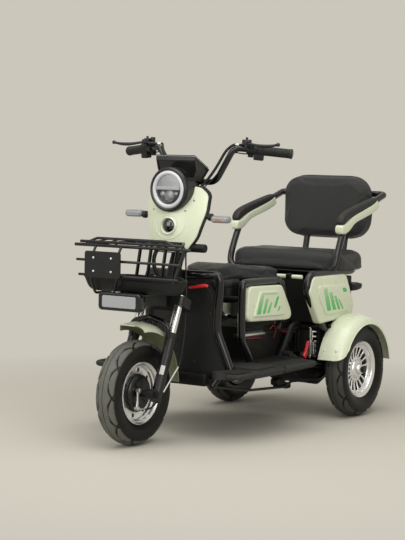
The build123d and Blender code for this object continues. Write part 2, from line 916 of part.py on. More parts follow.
with BuildPart() as saddle_frame:
    for side in (1, -1):
        across = side * hoop_half_width
        add_tube(
            [
                (across, back(hoop_foot), rail_height),
                (across, back(hoop_front), 405),
                (across, back(hoop_front), hoop_top),
                (across, back(664), hoop_top),
                (across, back(hoop_rear), 400),
                (across, back(725), rail_height),
            ],
            [80, 58, 48, 48],
            hoop_radius,
        )
        add_rod((side * 70, back(hoop_front), saddle_frame_height), (side * 70, back(699), saddle_frame_height), 8)
    for along in (hoop_front, 699):
        add_rod(
            (-hoop_half_width, back(along), saddle_frame_height),
            (hoop_half_width, back(along), saddle_frame_height),
            10,
        )
    remove(main_frame)
saddle_frame.part.label = "saddle_frame"
export_step(saddle_frame.part, "parts/saddle_frame.step")

with BuildPart() as bench_frame:
    across = seat_frame_half_width
    add_tube(
        [
            (across, back(seat_frame_low_rear), seat_frame_low + 7),
            (across, back(900), seat_frame_low),
            (across, back(seat_frame_front), 486),
            (across, back(seat_frame_front), seat_frame_height),
            (across, back(seat_frame_rear - 105), seat_frame_height),
            (across - 45, back(seat_frame_rear), seat_frame_height),
            (0, back(seat_frame_rear), seat_frame_height),
        ],
        [50, 56, 46, 40, 30],
        seat_frame_radius,
    )
    mirror(about=Plane.YZ)
    for along in (985, 1085):
        add_rod(
            (-seat_frame_half_width, back(along), seat_frame_height - 4),
            (seat_frame_half_width, back(along), seat_frame_height - 4),
            10,
        )
    with BuildSketch(Plane.XY.offset(seat_frame_height + 1)):
        with Locations((0, back((bench_front + bench_rear) / 2))):
            RectangleRounded(2 * seat_frame_half_width, bench_rear - bench_front - 8, 30)
    extrude(amount=bench_board_thickness)
    remove(main_frame)
bench_frame.part.label = "bench_frame"
export_step(bench_frame.part, "parts/bench_frame.step")

# ---- Leg shield and floor ----


def shield_y(across):
    """Y of the leg shield's front face at a distance from the middle."""
    return back(shield_front) + shield_curve - sqrt(shield_curve**2 - across**2)


shield_outline = [
    (shield_half_width, shield_top),
    (shield_waist_half_width, shield_waist),
    (shield_foot_half_width, floor_top),
]
shield_shoulder_bend = 100.0
shield_waist_bend = 150.0
with BuildPart() as leg_shield_tube:
    right = [(-x, shield_y(x), z) for x, z in shield_outline]
    left = [(x, shield_y(x), z) for x, z in reversed(shield_outline)]
    bends = [shield_waist_bend, shield_shoulder_bend]
    add_tube(left + [(0, shield_y(0), shield_top)] + right, bends + [300] + bends[::-1], shield_tube_radius)
    remove(main_frame)
leg_shield_tube.part.label = "leg_shield_tube"
export_step(leg_shield_tube.part, "parts/leg_shield_tube.step")

with BuildPart() as leg_shield:
    with BuildSketch(Plane.XY.offset(shield_bottom)):
        with Locations((0, back(shield_front) + shield_curve)):
            Circle(shield_curve)
            Circle(shield_curve - shield_thickness, mode=Mode.SUBTRACT)
    extrude(amount=shield_top - shield_bottom)
    with BuildSketch(Plane.XZ.offset(-back(shield_front + 200))) as outline:
        with BuildLine():
            Polyline(
                (0, shield_top),
                *shield_outline,
                (shield_foot_half_width + 10, shield_bottom),
                (0, shield_bottom),
            )
            mirror(about=Plane.YZ)
        make_face()
        shoulders = outline.vertices().group_by(Axis.Y)[-1]
        waist_corners = outline.vertices().filter_by_position(
            Axis.Y, shield_waist - 5, shield_waist + 5
        )
        fillet(waist_corners, shield_waist_bend)
        fillet(shoulders, shield_shoulder_bend)
    extrude(amount=240, mode=Mode.INTERSECT)
    remove(leg_shield_tube, main_frame)
    drop_scraps(leg_shield)
leg_shield.part.label = "leg_shield"
export_step(leg_shield.part, "parts/leg_shield.step")

floor_bottom = rail_top
with BuildPart() as floor_pan:
    with BuildSketch(Plane.XY.offset(floor_bottom)):
        with BuildLine():
            inner = shield_curve - shield_thickness
            edge_y = back(shield_front) + shield_curve - sqrt(inner**2 - floor_half_width**2)
            ThreePointArc(
                (-floor_half_width, edge_y),
                (0, back(shield_front) + shield_thickness),
                (floor_half_width, edge_y),
            )
            Polyline(
                (floor_half_width, edge_y),
                (floor_half_width, back(floor_rear)),
                (-floor_half_width, back(floor_rear)),
                (-floor_half_width, edge_y),
            )
        make_face()
    extrude(amount=floor_top - floor_bottom)
    remove(main_frame, saddle_frame, leg_shield_tube)
floor_pan.part.label = "floor_pan"
export_step(floor_pan.part, "parts/floor_pan.step")

with BuildPart() as running_boards:
    for start, end, low in ((board_front, board_joint, 0), (board_joint, board_rear, 2)):
        with BuildSketch(Plane.XY.offset(floor_top - board_drop)) as outline:
            with BuildLine():
                if start == board_front:
                    Polyline(
                        (floor_half_width, back(end)),
                        (board_outer, back(end)),
                        (board_outer, back(300)),
                        (282, back(226)),
                        (214, back(start)),
                        (186, back(start + 28)),
                        (floor_half_width, back(318)),
                        close=True,
                    )
                else:
                    Polyline(
                        (floor_half_width, back(start)),
                        (board_outer - low, back(start)),
                        (board_outer - 10, back(end)),
                        (floor_half_width, back(end)),
                        close=True,
                    )
            make_face()
            if start == board_front:
                for corner in ((board_outer, back(300)), (282, back(226))):
                    fillet(outline.vertices().sort_by_distance(corner)[0], board_corner)
                fillet(outline.vertices().sort_by_distance((214, back(start)))[0], 14)
        extrude(amount=board_drop)
    with BuildSketch(Plane.XY.offset(floor_top)):
        with Locations(((mat_inner + mat_outer) / 2, back(380))):
            RectangleRounded(mat_outer - mat_inner, mat_length, 24)
    extrude(amount=mat_height)
    mirror(about=Plane.YZ)
    remove(leg_shield_tube, leg_shield)
running_boards.part.label = "running_boards"
export_step(running_boards.part, "parts/running_boards.step")

# ---- Battery, storage box and covers ----

battery_front = 547.0
battery_length = 310.0
battery_width = 210.0
battery_height = 116.0
with BuildPart() as battery_box:
    with BuildSketch(Plane.XY.offset(floor_top)):
        with Locations((0, back(battery_front + battery_length / 2))):
            RectangleRounded(battery_width, battery_length, 10)
    extrude(amount=battery_height)
battery_box.part.label = "battery_box"
export_step(battery_box.part, "parts/battery_box.step")

box_bottom = upper_rail_height + rail_radius
with BuildPart() as storage_box:
    with BuildSketch(Plane.XY.offset(box_bottom)):
        with Locations((0, back((box_front + box_rear) / 2))):
            RectangleRounded(2 * box_half_width, box_rear - box_front, 30)
    extrude(amount=box_top - box_bottom)
    offset(amount=-box_wall, openings=storage_box.faces().sort_by(Axis.Z)[-1])
    with BuildSketch(Plane.XY.offset(box_top - 50)):
        with Locations((0, back(box_rear + box_lip / 2 - 1))):
            Rectangle(2 * box_half_width - 60, box_lip + 2)
    extrude(amount=8)
    remove(main_frame)
storage_box.part.label = "storage_box"
export_step(storage_box.part, "parts/storage_box.step")

shroud_bottom = 466.0
shroud_front = 408.0
shroud_rear = 694.0
shroud_half_width = 122.0
with BuildPart() as saddle_shroud:
    with BuildSketch(Plane.XY.offset(shroud_bottom)):
        with Locations((0, back((shroud_front + shroud_rear) / 2))):
            RectangleRounded(2 * shroud_half_width, shroud_rear - shroud_front, 44)
    extrude(amount=saddle_bottom - shroud_bottom)
    fillet(saddle_shroud.faces().sort_by(Axis.Z)[0].edges(), 18)
    remove(saddle_frame)
    drop_scraps(saddle_shroud)
saddle_shroud.part.label = "saddle_shroud"
export_step(saddle_shroud.part, "parts/saddle_shroud.step")


def side_cover(corners, outer, inner, rounding):
    """Add a shallow tray-shaped cover on the left side, open toward the frame."""
    with BuildSketch(Plane.YZ.offset(inner)) as outline:
        with BuildLine():
            FilletPolyline(*[(back(y), z) for y, z in corners], radius=rounding, close=True)
        make_face()
    extrude(outline.sketch, amount=outer - inner)


saddle_cover_outer = 192.0
with BuildPart() as saddle_covers:
    corners = [(414, 404), (424, 530), (652, 524), (745, 389)]
    side_cover(corners, saddle_cover_outer, hoop_half_width, [24, 40, 24, 20])
    fillet(saddle_covers.faces().sort_by(Axis.X)[-1].edges(), 4)
    offset(amount=-3, openings=saddle_covers.faces().sort_by(Axis.X)[0])
    remove(saddle_frame)
    mirror(about=Plane.YZ)
saddle_covers.part.label = "saddle_covers"
export_step(saddle_covers.part, "parts/saddle_covers.step")

bench_cover_outer = 243.0
with BuildPart() as bench_covers:
    side_cover(
        [(763, 492), (790, 548), (1044, 547), (1110, 426), (1094, 380), (848, 366)],
        bench_cover_outer,
        seat_frame_half_width,
        [40, 34, 18, 30, 24, 30],
    )
    fillet(bench_covers.faces().sort_by(Axis.X)[-1].edges(), 4)
    offset(amount=-3, openings=bench_covers.faces().sort_by(Axis.X)[0])
    remove(bench_frame, main_frame)
    mirror(about=Plane.YZ)
bench_covers.part.label = "bench_covers"
export_step(bench_covers.part, "parts/bench_covers.step")

# ---- Rear axle, springs and fenders ----

rear_hub = Vector(0, rear_axle_y, axle_height)
drum_outer = 236.0
arm_pivot = (770, 250)
with BuildPart() as rear_axle:
    add_rod(rear_hub - Vector(drum_outer, 0, 0), rear_hub + Vector(drum_outer, 0, 0), axle_tube_radius)
    add_rod(rear_hub - Vector(motor_half_length, 0, 0), rear_hub + Vector(motor_half_length, 0, 0), motor_radius)
    for side in (1, -1):
        ends = sorted((side * (drum_outer - 32), side * drum_outer))
        ring(axle_tube_radius - 2, drum_radius, ends[0], ends[1], rear_hub)
        ends = (rear_hub + Vector(side * (drum_outer - 2), 0, 0), rear_hub + Vector(side * (half_track + 44), 0, 0))
        add_rod(ends[0], ends[1], stub_axle_radius)
        add_tube(
            [
                (side * 150, back(arm_pivot[0]), arm_pivot[1]),
                (side * 150, back(900), 200),
                (side * 150, rear_axle_y - 10, axle_height),
            ],
            80,
            14,
        )
        add_rod((side * 122, back(arm_pivot[0]), arm_pivot[1]), (side * 166, back(arm_pivot[0]), arm_pivot[1]), 15)
    remove(main_frame)
rear_axle.part.label = "rear_axle"
export_step(rear_axle.part, "parts/rear_axle.step")

coil_radius = 24.0
with BuildPart() as rear_springs:
    for side in (1, -1):
        foot = Vector(side * rail_half_spread, rear_axle_y, axle_height + axle_tube_radius - 6)
        head = Vector(side * rail_half_spread, rear_axle_y, upper_rail_height - rail_radius + 4)
        add_rod(foot, head, 10)
        turns = 6
        pitch = (head.Z - foot.Z - 24) / turns
        for turn in range(turns):
            with Locations(Plane(origin=(foot.X, foot.Y, foot.Z + 12 + pitch * (turn + 0.5)))):
                Cylinder(coil_radius, pitch * 0.62)
    remove(rear_axle, main_frame)
rear_springs.part.label = "rear_springs"
export_step(rear_springs.part, "parts/rear_springs.step")

with BuildPart() as rear_fenders:
    centre = Vector(0, rear_axle_y, axle_height)
    outer = fender_radius
    wall = fender_thickness
    with BuildSketch(axle_plane(centre)) as section:
        with BuildLine():
            crown = FilletPolyline(
                (bench_cover_outer, outer - 3),
                (bench_cover_outer + 34, outer),
                (fender_outer - 26, outer - 4),
                (fender_outer, outer - 22),
                (fender_outer, fender_skirt),
                radius=[30, 24, 16],
            )
            Line((fender_outer, fender_skirt), (fender_outer - wall, fender_skirt))
            FilletPolyline(
                (fender_outer - wall, fender_skirt),
                (fender_outer - wall, outer - 20),
                (fender_outer - 28, outer - 4 - wall),
                (bench_cover_outer + 34, outer - wall),
                (bench_cover_outer, outer - 3 - wall),
                radius=[12, 20, 26],
            )
            Line((bench_cover_outer, outer - 3 - wall), (bench_cover_outer, outer - 3))
        make_face()
    revolve(section.sketch, axis=Axis(centre, (1, 0, 0)), revolution_arc=-fender_tail_arc)
    revolve(section.sketch, axis=Axis(centre, (1, 0, 0)), revolution_arc=fender_front_arc)
    remove(main_frame, bench_covers)
    drop_scraps(rear_fenders)
    mirror(about=Plane.YZ)
rear_fenders.part.label = "rear_fenders"
export_step(rear_fenders.part, "parts/rear_fenders.step")

# ---- Bench, backrest and armrests ----

bench_bottom = seat_frame_height + seat_frame_radius
with BuildPart() as bench_cushion:
    with BuildSketch(Plane.XY.offset(bench_bottom)):
        with Locations((0, back((bench_front + bench_rear) / 2))):
            RectangleRounded(2 * bench_half_width, bench_rear - bench_front, 60)
    extrude(amount=bench_thickness)
    fillet(bench_cushion.faces().sort_by(Axis.Z)[-1].edges(), 26)
    fillet(bench_cushion.faces().sort_by(Axis.Z)[0].edges(), 6)
bench_cushion.part.label = "bench_cushion"
export_step(bench_cushion.part, "parts/bench_cushion.step")

loop_points = [
    (loop_half_width, back(916), seat_frame_height + 2),
    (loop_half_width, back(930), 590),
    (loop_half_width, back(1006), 712),
    (loop_half_width, back(1062), 762),
    (loop_half_width, back(1262), 818),
    (loop_half_width, back(loop_rear), 846),
    (0, back(loop_rear), 846),
]
with BuildPart() as armrest_loop:
    add_tube(loop_points, [20, 60, 80, 60, 40], loop_radius)
    remove(bench_frame)
    drop_scraps(armrest_loop)
    mirror(about=Plane.YZ)
armrest_loop.part.label = "armrest_loop"
export_step(armrest_loop.part, "parts/armrest_loop.step")

with BuildPart() as backrest_frame:
    for side in (1, -1):
        across = side * post_spacing / 2
        add_tube(
            [
                (across, back(seat_frame_rear), seat_frame_height),
                (across, back(1290), 610),
                (across, back(1311), backrest_bottom + 40),
            ],
            50,
            post_radius,
        )
    with BuildSketch(Plane.XZ.offset(-back(backrest_front + backrest_thickness))):
        with Locations((0, 790)):
            RectangleRounded(230, 170, 12)
    extrude(amount=-4)
    with BuildSketch(Plane.XZ.offset(-back(backrest_front + backrest_thickness))):
        with Locations((-70, 846), (70, 846)):
            Rectangle(36, 44)
    extrude(amount=-(loop_rear - backrest_front - backrest_thickness))
    remove(armrest_loop, bench_frame)
backrest_frame.part.label = "backrest_frame"
export_step(backrest_frame.part, "parts/backrest_frame.step")

with BuildPart() as backrest_pad:
    with BuildSketch(Plane.XZ.offset(-back(backrest_front))):
        with Locations((0, backrest_bottom + backrest_height / 2)):
            RectangleRounded(2 * backrest_half_width, backrest_height, backrest_corner)
    extrude(amount=-backrest_thickness)
    fillet(backrest_pad.faces().sort_by(Axis.Y)[0].edges(), 18)
    fillet(backrest_pad.faces().sort_by(Axis.Y)[-1].edges(), 10)
    remove(backrest_frame)
backrest_pad.part.label = "backrest_pad"
export_step(backrest_pad.part, "parts/backrest_pad.step")

arm_low = [(940, 698), (995, 697), (1036, 716), (1068, 745), (1255, 793), (1262, 832)]
arm_seam = [(1235, 813), (1038, 764), (1009, 726), (960, 724)]
arm_high = [(945, 728), (992, 768), (1098, 804), (1250, 830)]


def arm_profile(places, rounding, half_width):
    """Add an armrest piece from its side outline, centred on the loop."""
    with BuildSketch(Plane.YZ.offset(loop_half_width - half_width)) as outline:
        with BuildLine():
            FilletPolyline(*[(back(y), z) for y, z in places], radius=rounding, close=True)
        make_face()
    extrude(outline.sketch, amount=2 * half_width)


with BuildPart() as armrest_covers:
    arm_profile(arm_low + arm_seam, [8, 40, 30, 40, 6, 6, 10, 20, 20, 4], arm_cover_half_width)
    remove(armrest_loop)
    drop_scraps(armrest_covers)
    mirror(about=Plane.YZ)
armrest_covers.part.label = "armrest_covers"
export_step(armrest_covers.part, "parts/armrest_covers.step")

with BuildPart() as armrest_pads:
    arm_profile(arm_seam[::-1] + arm_high[::-1], [2, 20, 20, 6, 4, 60, 40, 4], arm_pad_half_width)
    remove(armrest_covers, armrest_loop)
    drop_scraps(armrest_pads)
    mirror(about=Plane.YZ)
armrest_pads.part.label = "armrest_pads"
export_step(armrest_pads.part, "parts/armrest_pads.step")

# ---- Saddle ----

seat_gap = 0.5
with BuildPart() as saddle:
    with BuildSketch(Plane.XY.offset(saddle_bottom + seat_gap)) as outline:
        with BuildLine():
            Spline(
                (0, back(saddle_front)),
                (saddle_nose_half_width * 0.8, back(saddle_front + 22)),
                (saddle_nose_half_width + 4, back(saddle_front + 90)),
                (saddle_half_width - 16, back(saddle_front + 190)),
                (saddle_half_width, back(saddle_front + 280)),
                (saddle_half_width - 40, back(saddle_rear - 6)),
                (0, back(saddle_rear)),
                tangents=((1, 0), (-1, 0)),
            )
            mirror(about=Plane.YZ)
        make_face()
    extrude(amount=saddle_top - saddle_bottom)
    with BuildSketch(Plane.YZ) as profile:
        with BuildLine():
            Spline(
                (back(saddle_front), saddle_top - 14),
                (back(saddle_front + 70), saddle_top),
                (back(saddle_front + 200), saddle_rear_top + 4),
                (back(saddle_rear), saddle_rear_top + 2),
            )
            Polyline(
                (back(saddle_rear), saddle_rear_top + 2),
                (back(saddle_rear), saddle_bottom),
                (back(saddle_front), saddle_bottom),
                (back(saddle_front), saddle_top - 14),
            )
        make_face()
    extrude(profile.sketch, amount=200, both=True, mode=Mode.INTERSECT)
    fillet(saddle.faces().sort_by(Axis.Z)[-1].edges(), 12)
saddle.part.label = "saddle"
export_step(saddle.part, "parts/saddle.step")

# ---- Brake rod, parking lever and tail lamps ----

with BuildPart() as brake_rod:
    add_tube(
        [
            (150, back(250), 188),
            (158, back(480), 149),
            (160, back(745), 134),
            (160, back(780), 150),
            (160, back(1000), 138),
            (160, back(1042), 156),
        ],
        30,
        5,
    )
    add_rod((150, back(256), 182), (150, back(330), floor_bottom + 6), 12)
    remove(rear_axle, running_boards, floor_pan, main_frame, leg_shield)
brake_rod.part.label = "brake_rod"
export_step(brake_rod.part, "parts/brake_rod.step")

with BuildPart() as tail_lamps:
    with BuildSketch(Plane.XZ.offset(-back(box_rear + box_lip))):
        with Locations((0, box_top - 46)):
            RectangleRounded(150, 34, 8)
    extrude(amount=-14)
tail_lamps.part.label = "tail_lamps"
export_step(tail_lamps.part, "parts/tail_lamps.step")
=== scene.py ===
"""Finished look of the three-wheeled electric scooter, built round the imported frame."""
from math import atan2, copysign, cos, degrees, hypot, pi, radians, sin, sqrt, tan

import bmesh
import bpy
from mathutils import Matrix, Vector


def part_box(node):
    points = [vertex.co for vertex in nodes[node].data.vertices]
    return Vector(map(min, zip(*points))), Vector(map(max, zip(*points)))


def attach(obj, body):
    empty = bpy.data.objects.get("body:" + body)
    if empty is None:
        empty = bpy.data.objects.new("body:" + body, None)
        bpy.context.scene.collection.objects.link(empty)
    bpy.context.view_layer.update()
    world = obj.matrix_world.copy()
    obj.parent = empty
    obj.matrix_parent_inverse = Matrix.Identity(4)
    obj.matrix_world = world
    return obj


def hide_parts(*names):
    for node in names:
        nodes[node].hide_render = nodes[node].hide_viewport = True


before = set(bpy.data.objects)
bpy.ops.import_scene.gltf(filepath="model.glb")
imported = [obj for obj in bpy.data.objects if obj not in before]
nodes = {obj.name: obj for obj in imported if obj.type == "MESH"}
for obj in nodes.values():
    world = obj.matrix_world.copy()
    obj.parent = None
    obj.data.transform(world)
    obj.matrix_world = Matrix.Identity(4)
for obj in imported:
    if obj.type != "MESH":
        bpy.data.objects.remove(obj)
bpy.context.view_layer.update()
scene = bpy.context.scene

# ---- Places taken from the frame ----

tyre_low, tyre_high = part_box("front_tyre")
tyre_radius = tyre_high.z / 2
front_axle_y = (tyre_low.y + tyre_high.y) / 2
front_hub = Vector((0, front_axle_y, tyre_radius))


def at(across, behind, up):
    """A point from millimetres: to the rider's left, behind the front axle, above the floor."""
    return Vector((across / 1000, front_axle_y + behind / 1000, up / 1000))


def trace(points):
    """Places along a line; points still in millimetres are turned into places first."""
    return [point if isinstance(point, Vector) else at(*point) for point in points]


def mirrored(points):
    """The same points on the rider's right."""
    return [(-across, *rest) for across, *rest in points]


def both_halves(half):
    """A profile of (across, up) made whole from its left half, left to right."""
    return half + mirrored(reversed(half))


def hub_of(node):
    low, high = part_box(node)
    return (low + high) / 2


def face_centre(node):
    """The middle of a node's front, on the centre line."""
    low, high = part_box(node)
    return Vector((0, low.y, (low.z + high.z) / 2))


def radial(turned_back):
    """Which way a spoke points; nought degrees is straight up and the turn goes rearward."""
    turn = radians(turned_back)
    return Vector((0, sin(turn), cos(turn)))


def held(value):
    """A share kept between nought and one."""
    return min(1.0, max(0.0, value))


# ---- Finishes ----


def add_node(tree, kind, **sockets):
    node = tree.nodes.new(kind)
    for name, value in sockets.items():
        node.inputs[name.replace("_", " ")].default_value = value
    return node


def surface(slot, name, colour, roughness, metallic=0.0, coat=0.0, specular=0.5):
    """A material for one of the record's slots, its shader and its object coordinates; the slot
    argument is not used.
    """
    material = bpy.data.materials.new(name)
    material.use_nodes = True
    tree = material.node_tree
    shader = tree.nodes["Principled BSDF"]
    for socket, value in (
        ("Base Color", (*colour, 1)), ("Roughness", roughness), ("Metallic", metallic),
        ("Coat Weight", coat), ("Coat Roughness", 0.08), ("Specular IOR Level", specular),
    ):
        shader.inputs[socket].default_value = value
    coordinates = tree.nodes.new("ShaderNodeTexCoord")
    return material, tree, shader, coordinates.outputs["Object"]


def noise(tree, where, scale, detail=2.0):
    node = add_node(tree, "ShaderNodeTexNoise", Scale=scale, Detail=detail)
    tree.links.new(where, node.inputs["Vector"])
    return node.outputs["Fac"]


def ramp(tree, value, low, high, out_low, out_high):
    node = add_node(
        tree, "ShaderNodeMapRange", From_Min=low, From_Max=high, To_Min=out_low, To_Max=out_high
    )
    tree.links.new(value, node.inputs["Value"])
    return node.outputs["Result"]


def bump(tree, shader, height, distance, strength=1.0):
    node = add_node(tree, "ShaderNodeBump", Distance=distance, Strength=strength)
    tree.links.new(height, node.inputs["Height"])
    tree.links.new(node.outputs["Normal"], shader.inputs["Normal"])
    return node


def compute(tree, operation, first, second):
    """The value that a Math node makes of two others."""
    node = tree.nodes.new("ShaderNodeMath")
    node.operation = operation
    tree.links.new(first, node.inputs[0])
    tree.links.new(second, node.inputs[1])
    return node.outputs["Value"]


def mix_shader(tree, factor, first, second):
    node = tree.nodes.new("ShaderNodeMixShader")
    for socket, value in zip(node.inputs, (factor, first, second)):
        tree.links.new(value, socket)
    return node.outputs["Shader"]


def mix_colour(tree, factor, first, second):
    node = tree.nodes.new("ShaderNodeMix")
    node.data_type = "RGBA"
    for socket, value in ((node.inputs["A"], first), (node.inputs["B"], second)):
        if isinstance(value, bpy.types.NodeSocket):
            tree.links.new(value, socket)
        else:
            socket.default_value = (*value, 1)
    tree.links.new(factor, node.inputs["Factor"])
    return node.outputs["Result"]


def paint(tree, shader, factor, first, second):
    tree.links.new(mix_colour(tree, factor, first, second), shader.inputs["Base Color"])


def uneven_gloss(tree, shader, where, scale, low, high):
    gloss = ramp(tree, noise(tree, where, scale), 0.3, 0.7, low, high)
    tree.links.new(gloss, shader.inputs["Roughness"])


def shade(colour, amount):
    return tuple(min(1.0, channel * amount) for channel in colour)


def grained(slot, name, colour, roughness, grain=900.0, depth=0.0002, spread=0.12, **more):
    """Paint or moulded plastic: fine grain, cloudy gloss and a little uneven colour.

    A depth of nought leaves the surface without grain, as on glossy moulded plastic.
    """
    material, tree, shader, where = surface(slot, name, colour, roughness, **more)
    cloud = noise(tree, where, 9.0, 3.0)
    paint(tree, shader, cloud, shade(colour, 1 - spread), shade(colour, 1 + spread))
    uneven_gloss(tree, shader, where, 26.0, roughness * 0.85, roughness * 1.18)
    if depth:
        bump(tree, shader, noise(tree, where, grain), depth)
    return material


def leather(slot, name, colour, roughness, pebble=420.0, depth=0.0006):
    """Vinyl with a pebbled grain and soft creases."""
    material, tree, shader, where = surface(slot, name, colour, roughness, specular=0.4)
    cells = add_node(tree, "ShaderNodeTexVoronoi", Scale=pebble)
    cells.feature = "DISTANCE_TO_EDGE"
    tree.links.new(where, cells.inputs["Vector"])
    first = bump(tree, shader, ramp(tree, cells.outputs["Distance"], 0, 0.12, 0, 1), depth)
    second = bump(tree, shader, noise(tree, where, 22.0, 2.0), 0.0008)
    tree.links.new(first.outputs["Normal"], second.inputs["Normal"])
    paint(tree, shader, noise(tree, where, 6.0), shade(colour, 0.8), shade(colour, 1.25))
    uneven_gloss(tree, shader, where, 60.0, roughness * 0.86, roughness * 1.12)
    return material


cream_colour = (0.72, 0.77, 0.575)
cream = grained("cream_green", "cream_plastic", cream_colour, 0.3, 24.0, 0, 0.012, coat=0.3)
# A darker cream for the faces inside the fenders: painted shade, not a colour of the plastic.
cream_painted_shade = grained("cream_green", "cream_fender_painted_shade", (0.20, 0.21, 0.12), 0.5, 200.0, 0)
gloss_tube = grained(
    "gloss_black_tube", "black_enamel", (0.006, 0.006, 0.007), 0.13, 18.0, 0, 0.1, specular=0.35,
    coat=0.3
)
frame_paint = grained(
    "black_frame", "black_frame_paint", (0.010, 0.010, 0.011), 0.34, 60.0, 0.00005, specular=0.4
)
matte_plastic = grained(
    "matte_black", "matte_black_plastic", (0.008, 0.0085, 0.0085), 0.5, 1100.0, 0.0003,
    specular=0.32
)
board_plastic = grained(
    "matte_black", "board_rubber", (0.017, 0.017, 0.016), 0.6, 800.0, 0.0005, specular=0.4
)
lamp_plastic = grained(
    "lamp_body", "lamp_black", (0.007, 0.007, 0.0075), 0.24, 60.0, 0.00003, specular=0.4, coat=0.2
)
rubber = grained(
    "rubber", "moulded_rubber", (0.012, 0.012, 0.012), 0.55, 900.0, 0.0004, specular=0.4
)
chrome = grained(
    "chrome", "bright_chrome", (0.84, 0.85, 0.86), 0.08, 20.0, 0.00002, 0.02, metallic=1.0
)
alloy = grained(
    "silver_alloy", "polished_alloy", (0.74, 0.74, 0.74), 0.2, 40.0, 0.00003, 0.04, metallic=1.0
)
steel = grained(
    "steel_black", "dark_steel", (0.028, 0.028, 0.030), 0.42, 200.0, 0.0002, 0.2, metallic=0.6
)
drum_paint = grained(
    "steel_black", "drum_black", (0.008, 0.008, 0.009), 0.3, 60.0, 0.0001, 0.1, specular=0.4
)
zinc = grained(
    "silver_alloy", "zinc_plate", (0.62, 0.63, 0.64), 0.3, 120.0, 0.0001, 0.12, metallic=1.0
)
white_bolt = grained(
    "silver_alloy", "bright_bolt", (0.78, 0.78, 0.76), 0.35, 120.0, 0.00005, 0.05, metallic=0.2
)
dark_red = grained("red_lens", "dark_red", (0.30, 0.008, 0.012), 0.35, 120.0, 0, 0.1)
signal_rim = grained(
    "lamp_body", "signal_rim", (0.26, 0.26, 0.27), 0.3, 120.0, 0.00005, 0.05, coat=0.3
)
dark_chrome = grained(
    "chrome", "dark_chrome", (0.10, 0.105, 0.11), 0.1, 20.0, 0.00002, 0.1, metallic=1.0
)
satin_chrome = grained(
    "chrome", "satin_chrome", (0.74, 0.74, 0.73), 0.24, 30.0, 0, 0.03, metallic=1.0
)
bright_alloy = grained(
    "silver_alloy", "bright_alloy", (0.82, 0.82, 0.82), 0.25, 30.0, 0, 0.03, metallic=0.9
)
inner_black = grained(
    "matte_black", "inner_black", (0.0045, 0.0045, 0.0045), 0.5, 300.0, 0.0001, specular=0.25
)
sticker = grained("silver_alloy", "bare_sticker", (0.60, 0.60, 0.58), 0.4, 200.0, 0.00002, 0.03)
vinyl = leather("seat_vinyl", "black_vinyl", (0.024, 0.026, 0.026), 0.38)
red_lens = grained("red_lens", "red_lens", (0.45, 0.012, 0.012), 0.14, 300.0, 0.0001, coat=0.5)
red_plastic = grained(
    "red_lens", "red_plastic", (0.55, 0.012, 0.018), 0.3, 120.0, 0.00005, coat=0.3
)
halo_ring = grained(
    "lamp_lens", "halo_ring", (0.62, 0.64, 0.66), 0.28, 240.0, 0.00005, 0.04, coat=0.6
)
reflector = grained(
    "lamp_lens", "lamp_reflector", (0.27, 0.28, 0.29), 0.36, 70.0, 0.0006, 0.35, metallic=0.5
)
dark_glass = grained(
    "lamp_lens", "dark_lens", (0.035, 0.037, 0.04), 0.08, 40.0, 0.00005, 0.3, coat=1.0
)
pale_lens = grained(
    "lamp_lens", "pale_lens", (0.36, 0.37, 0.385), 0.18, 260.0, 0.0002, 0.05, coat=0.7
)
amber = grained("lamp_lens", "amber_lens", (0.62, 0.22, 0.10), 0.2, 300.0, 0.0002, coat=0.6)


def halftone(slot, name, ground, ink):
    """Cream plastic printed with a screen of ink dots that thins out upward."""
    material, tree, shader, where = surface(slot, name, ground, 0.3, coat=0.3)
    axes = tree.nodes.new("ShaderNodeSeparateXYZ")
    tree.links.new(where, axes.inputs["Vector"])
    flat = tree.nodes.new("ShaderNodeCombineXYZ")
    tree.links.new(axes.outputs["Y"], flat.inputs["X"])
    tree.links.new(axes.outputs["Z"], flat.inputs["Y"])
    slant = tree.nodes.new("ShaderNodeMapping")
    slant.inputs["Rotation"].default_value = (0, 0, radians(35))
    tree.links.new(flat.outputs["Vector"], slant.inputs["Vector"])
    dots = add_node(tree, "ShaderNodeTexVoronoi", Scale=115.0, Randomness=0.0)
    dots.voronoi_dimensions = "2D"
    tree.links.new(slant.outputs["Vector"], dots.inputs["Vector"])
    size = ramp(tree, axes.outputs["Z"], 0.405, 0.515, 0.66, 0.3)
    inked = compute(tree, "LESS_THAN", dots.outputs["Distance"], size)
    paint(tree, shader, inked, ground, ink)
    uneven_gloss(tree, shader, where, 26.0, 0.26, 0.36)
    return material


green_dots = halftone("cream_green", "green_dot_print", cream_colour, (0.055, 0.50, 0.11))
green_ink = grained(
    "cream_green", "green_ink", (0.05, 0.50, 0.10), 0.32, 24.0, 0.00003, 0.05, coat=0.3
)


def tread_rubber():
    """Tyre rubber: dusty tread band, darker sidewalls with fine mould rings."""
    colour = (0.02, 0.02, 0.018)
    material, tree, shader, where = surface("tyre", "tyre_rubber", colour, 0.6, specular=0.25)
    band = tree.nodes.new("ShaderNodeAttribute")
    band.attribute_name = "tread"
    worn = mix_colour(tree, noise(tree, where, 40.0, 4.0), (0.10, 0.10, 0.086), (0.16, 0.16, 0.14))
    cloud = noise(tree, where, 16.0)
    wall = mix_colour(tree, cloud, (0.004, 0.004, 0.0035), (0.007, 0.007, 0.006))
    # The tread share lightens the band with its dusty colour; where it is lowered, on the rear
    # tyres, the darker band is painted shade.
    paint(tree, shader, band.outputs["Fac"], wall, worn)
    tree.links.new(ramp(tree, band.outputs["Fac"], 0, 1, 0.42, 0.75), shader.inputs["Roughness"])
    bump(tree, shader, noise(tree, where, 700.0), 0.0003)
    return material


tyre_finish = tread_rubber()

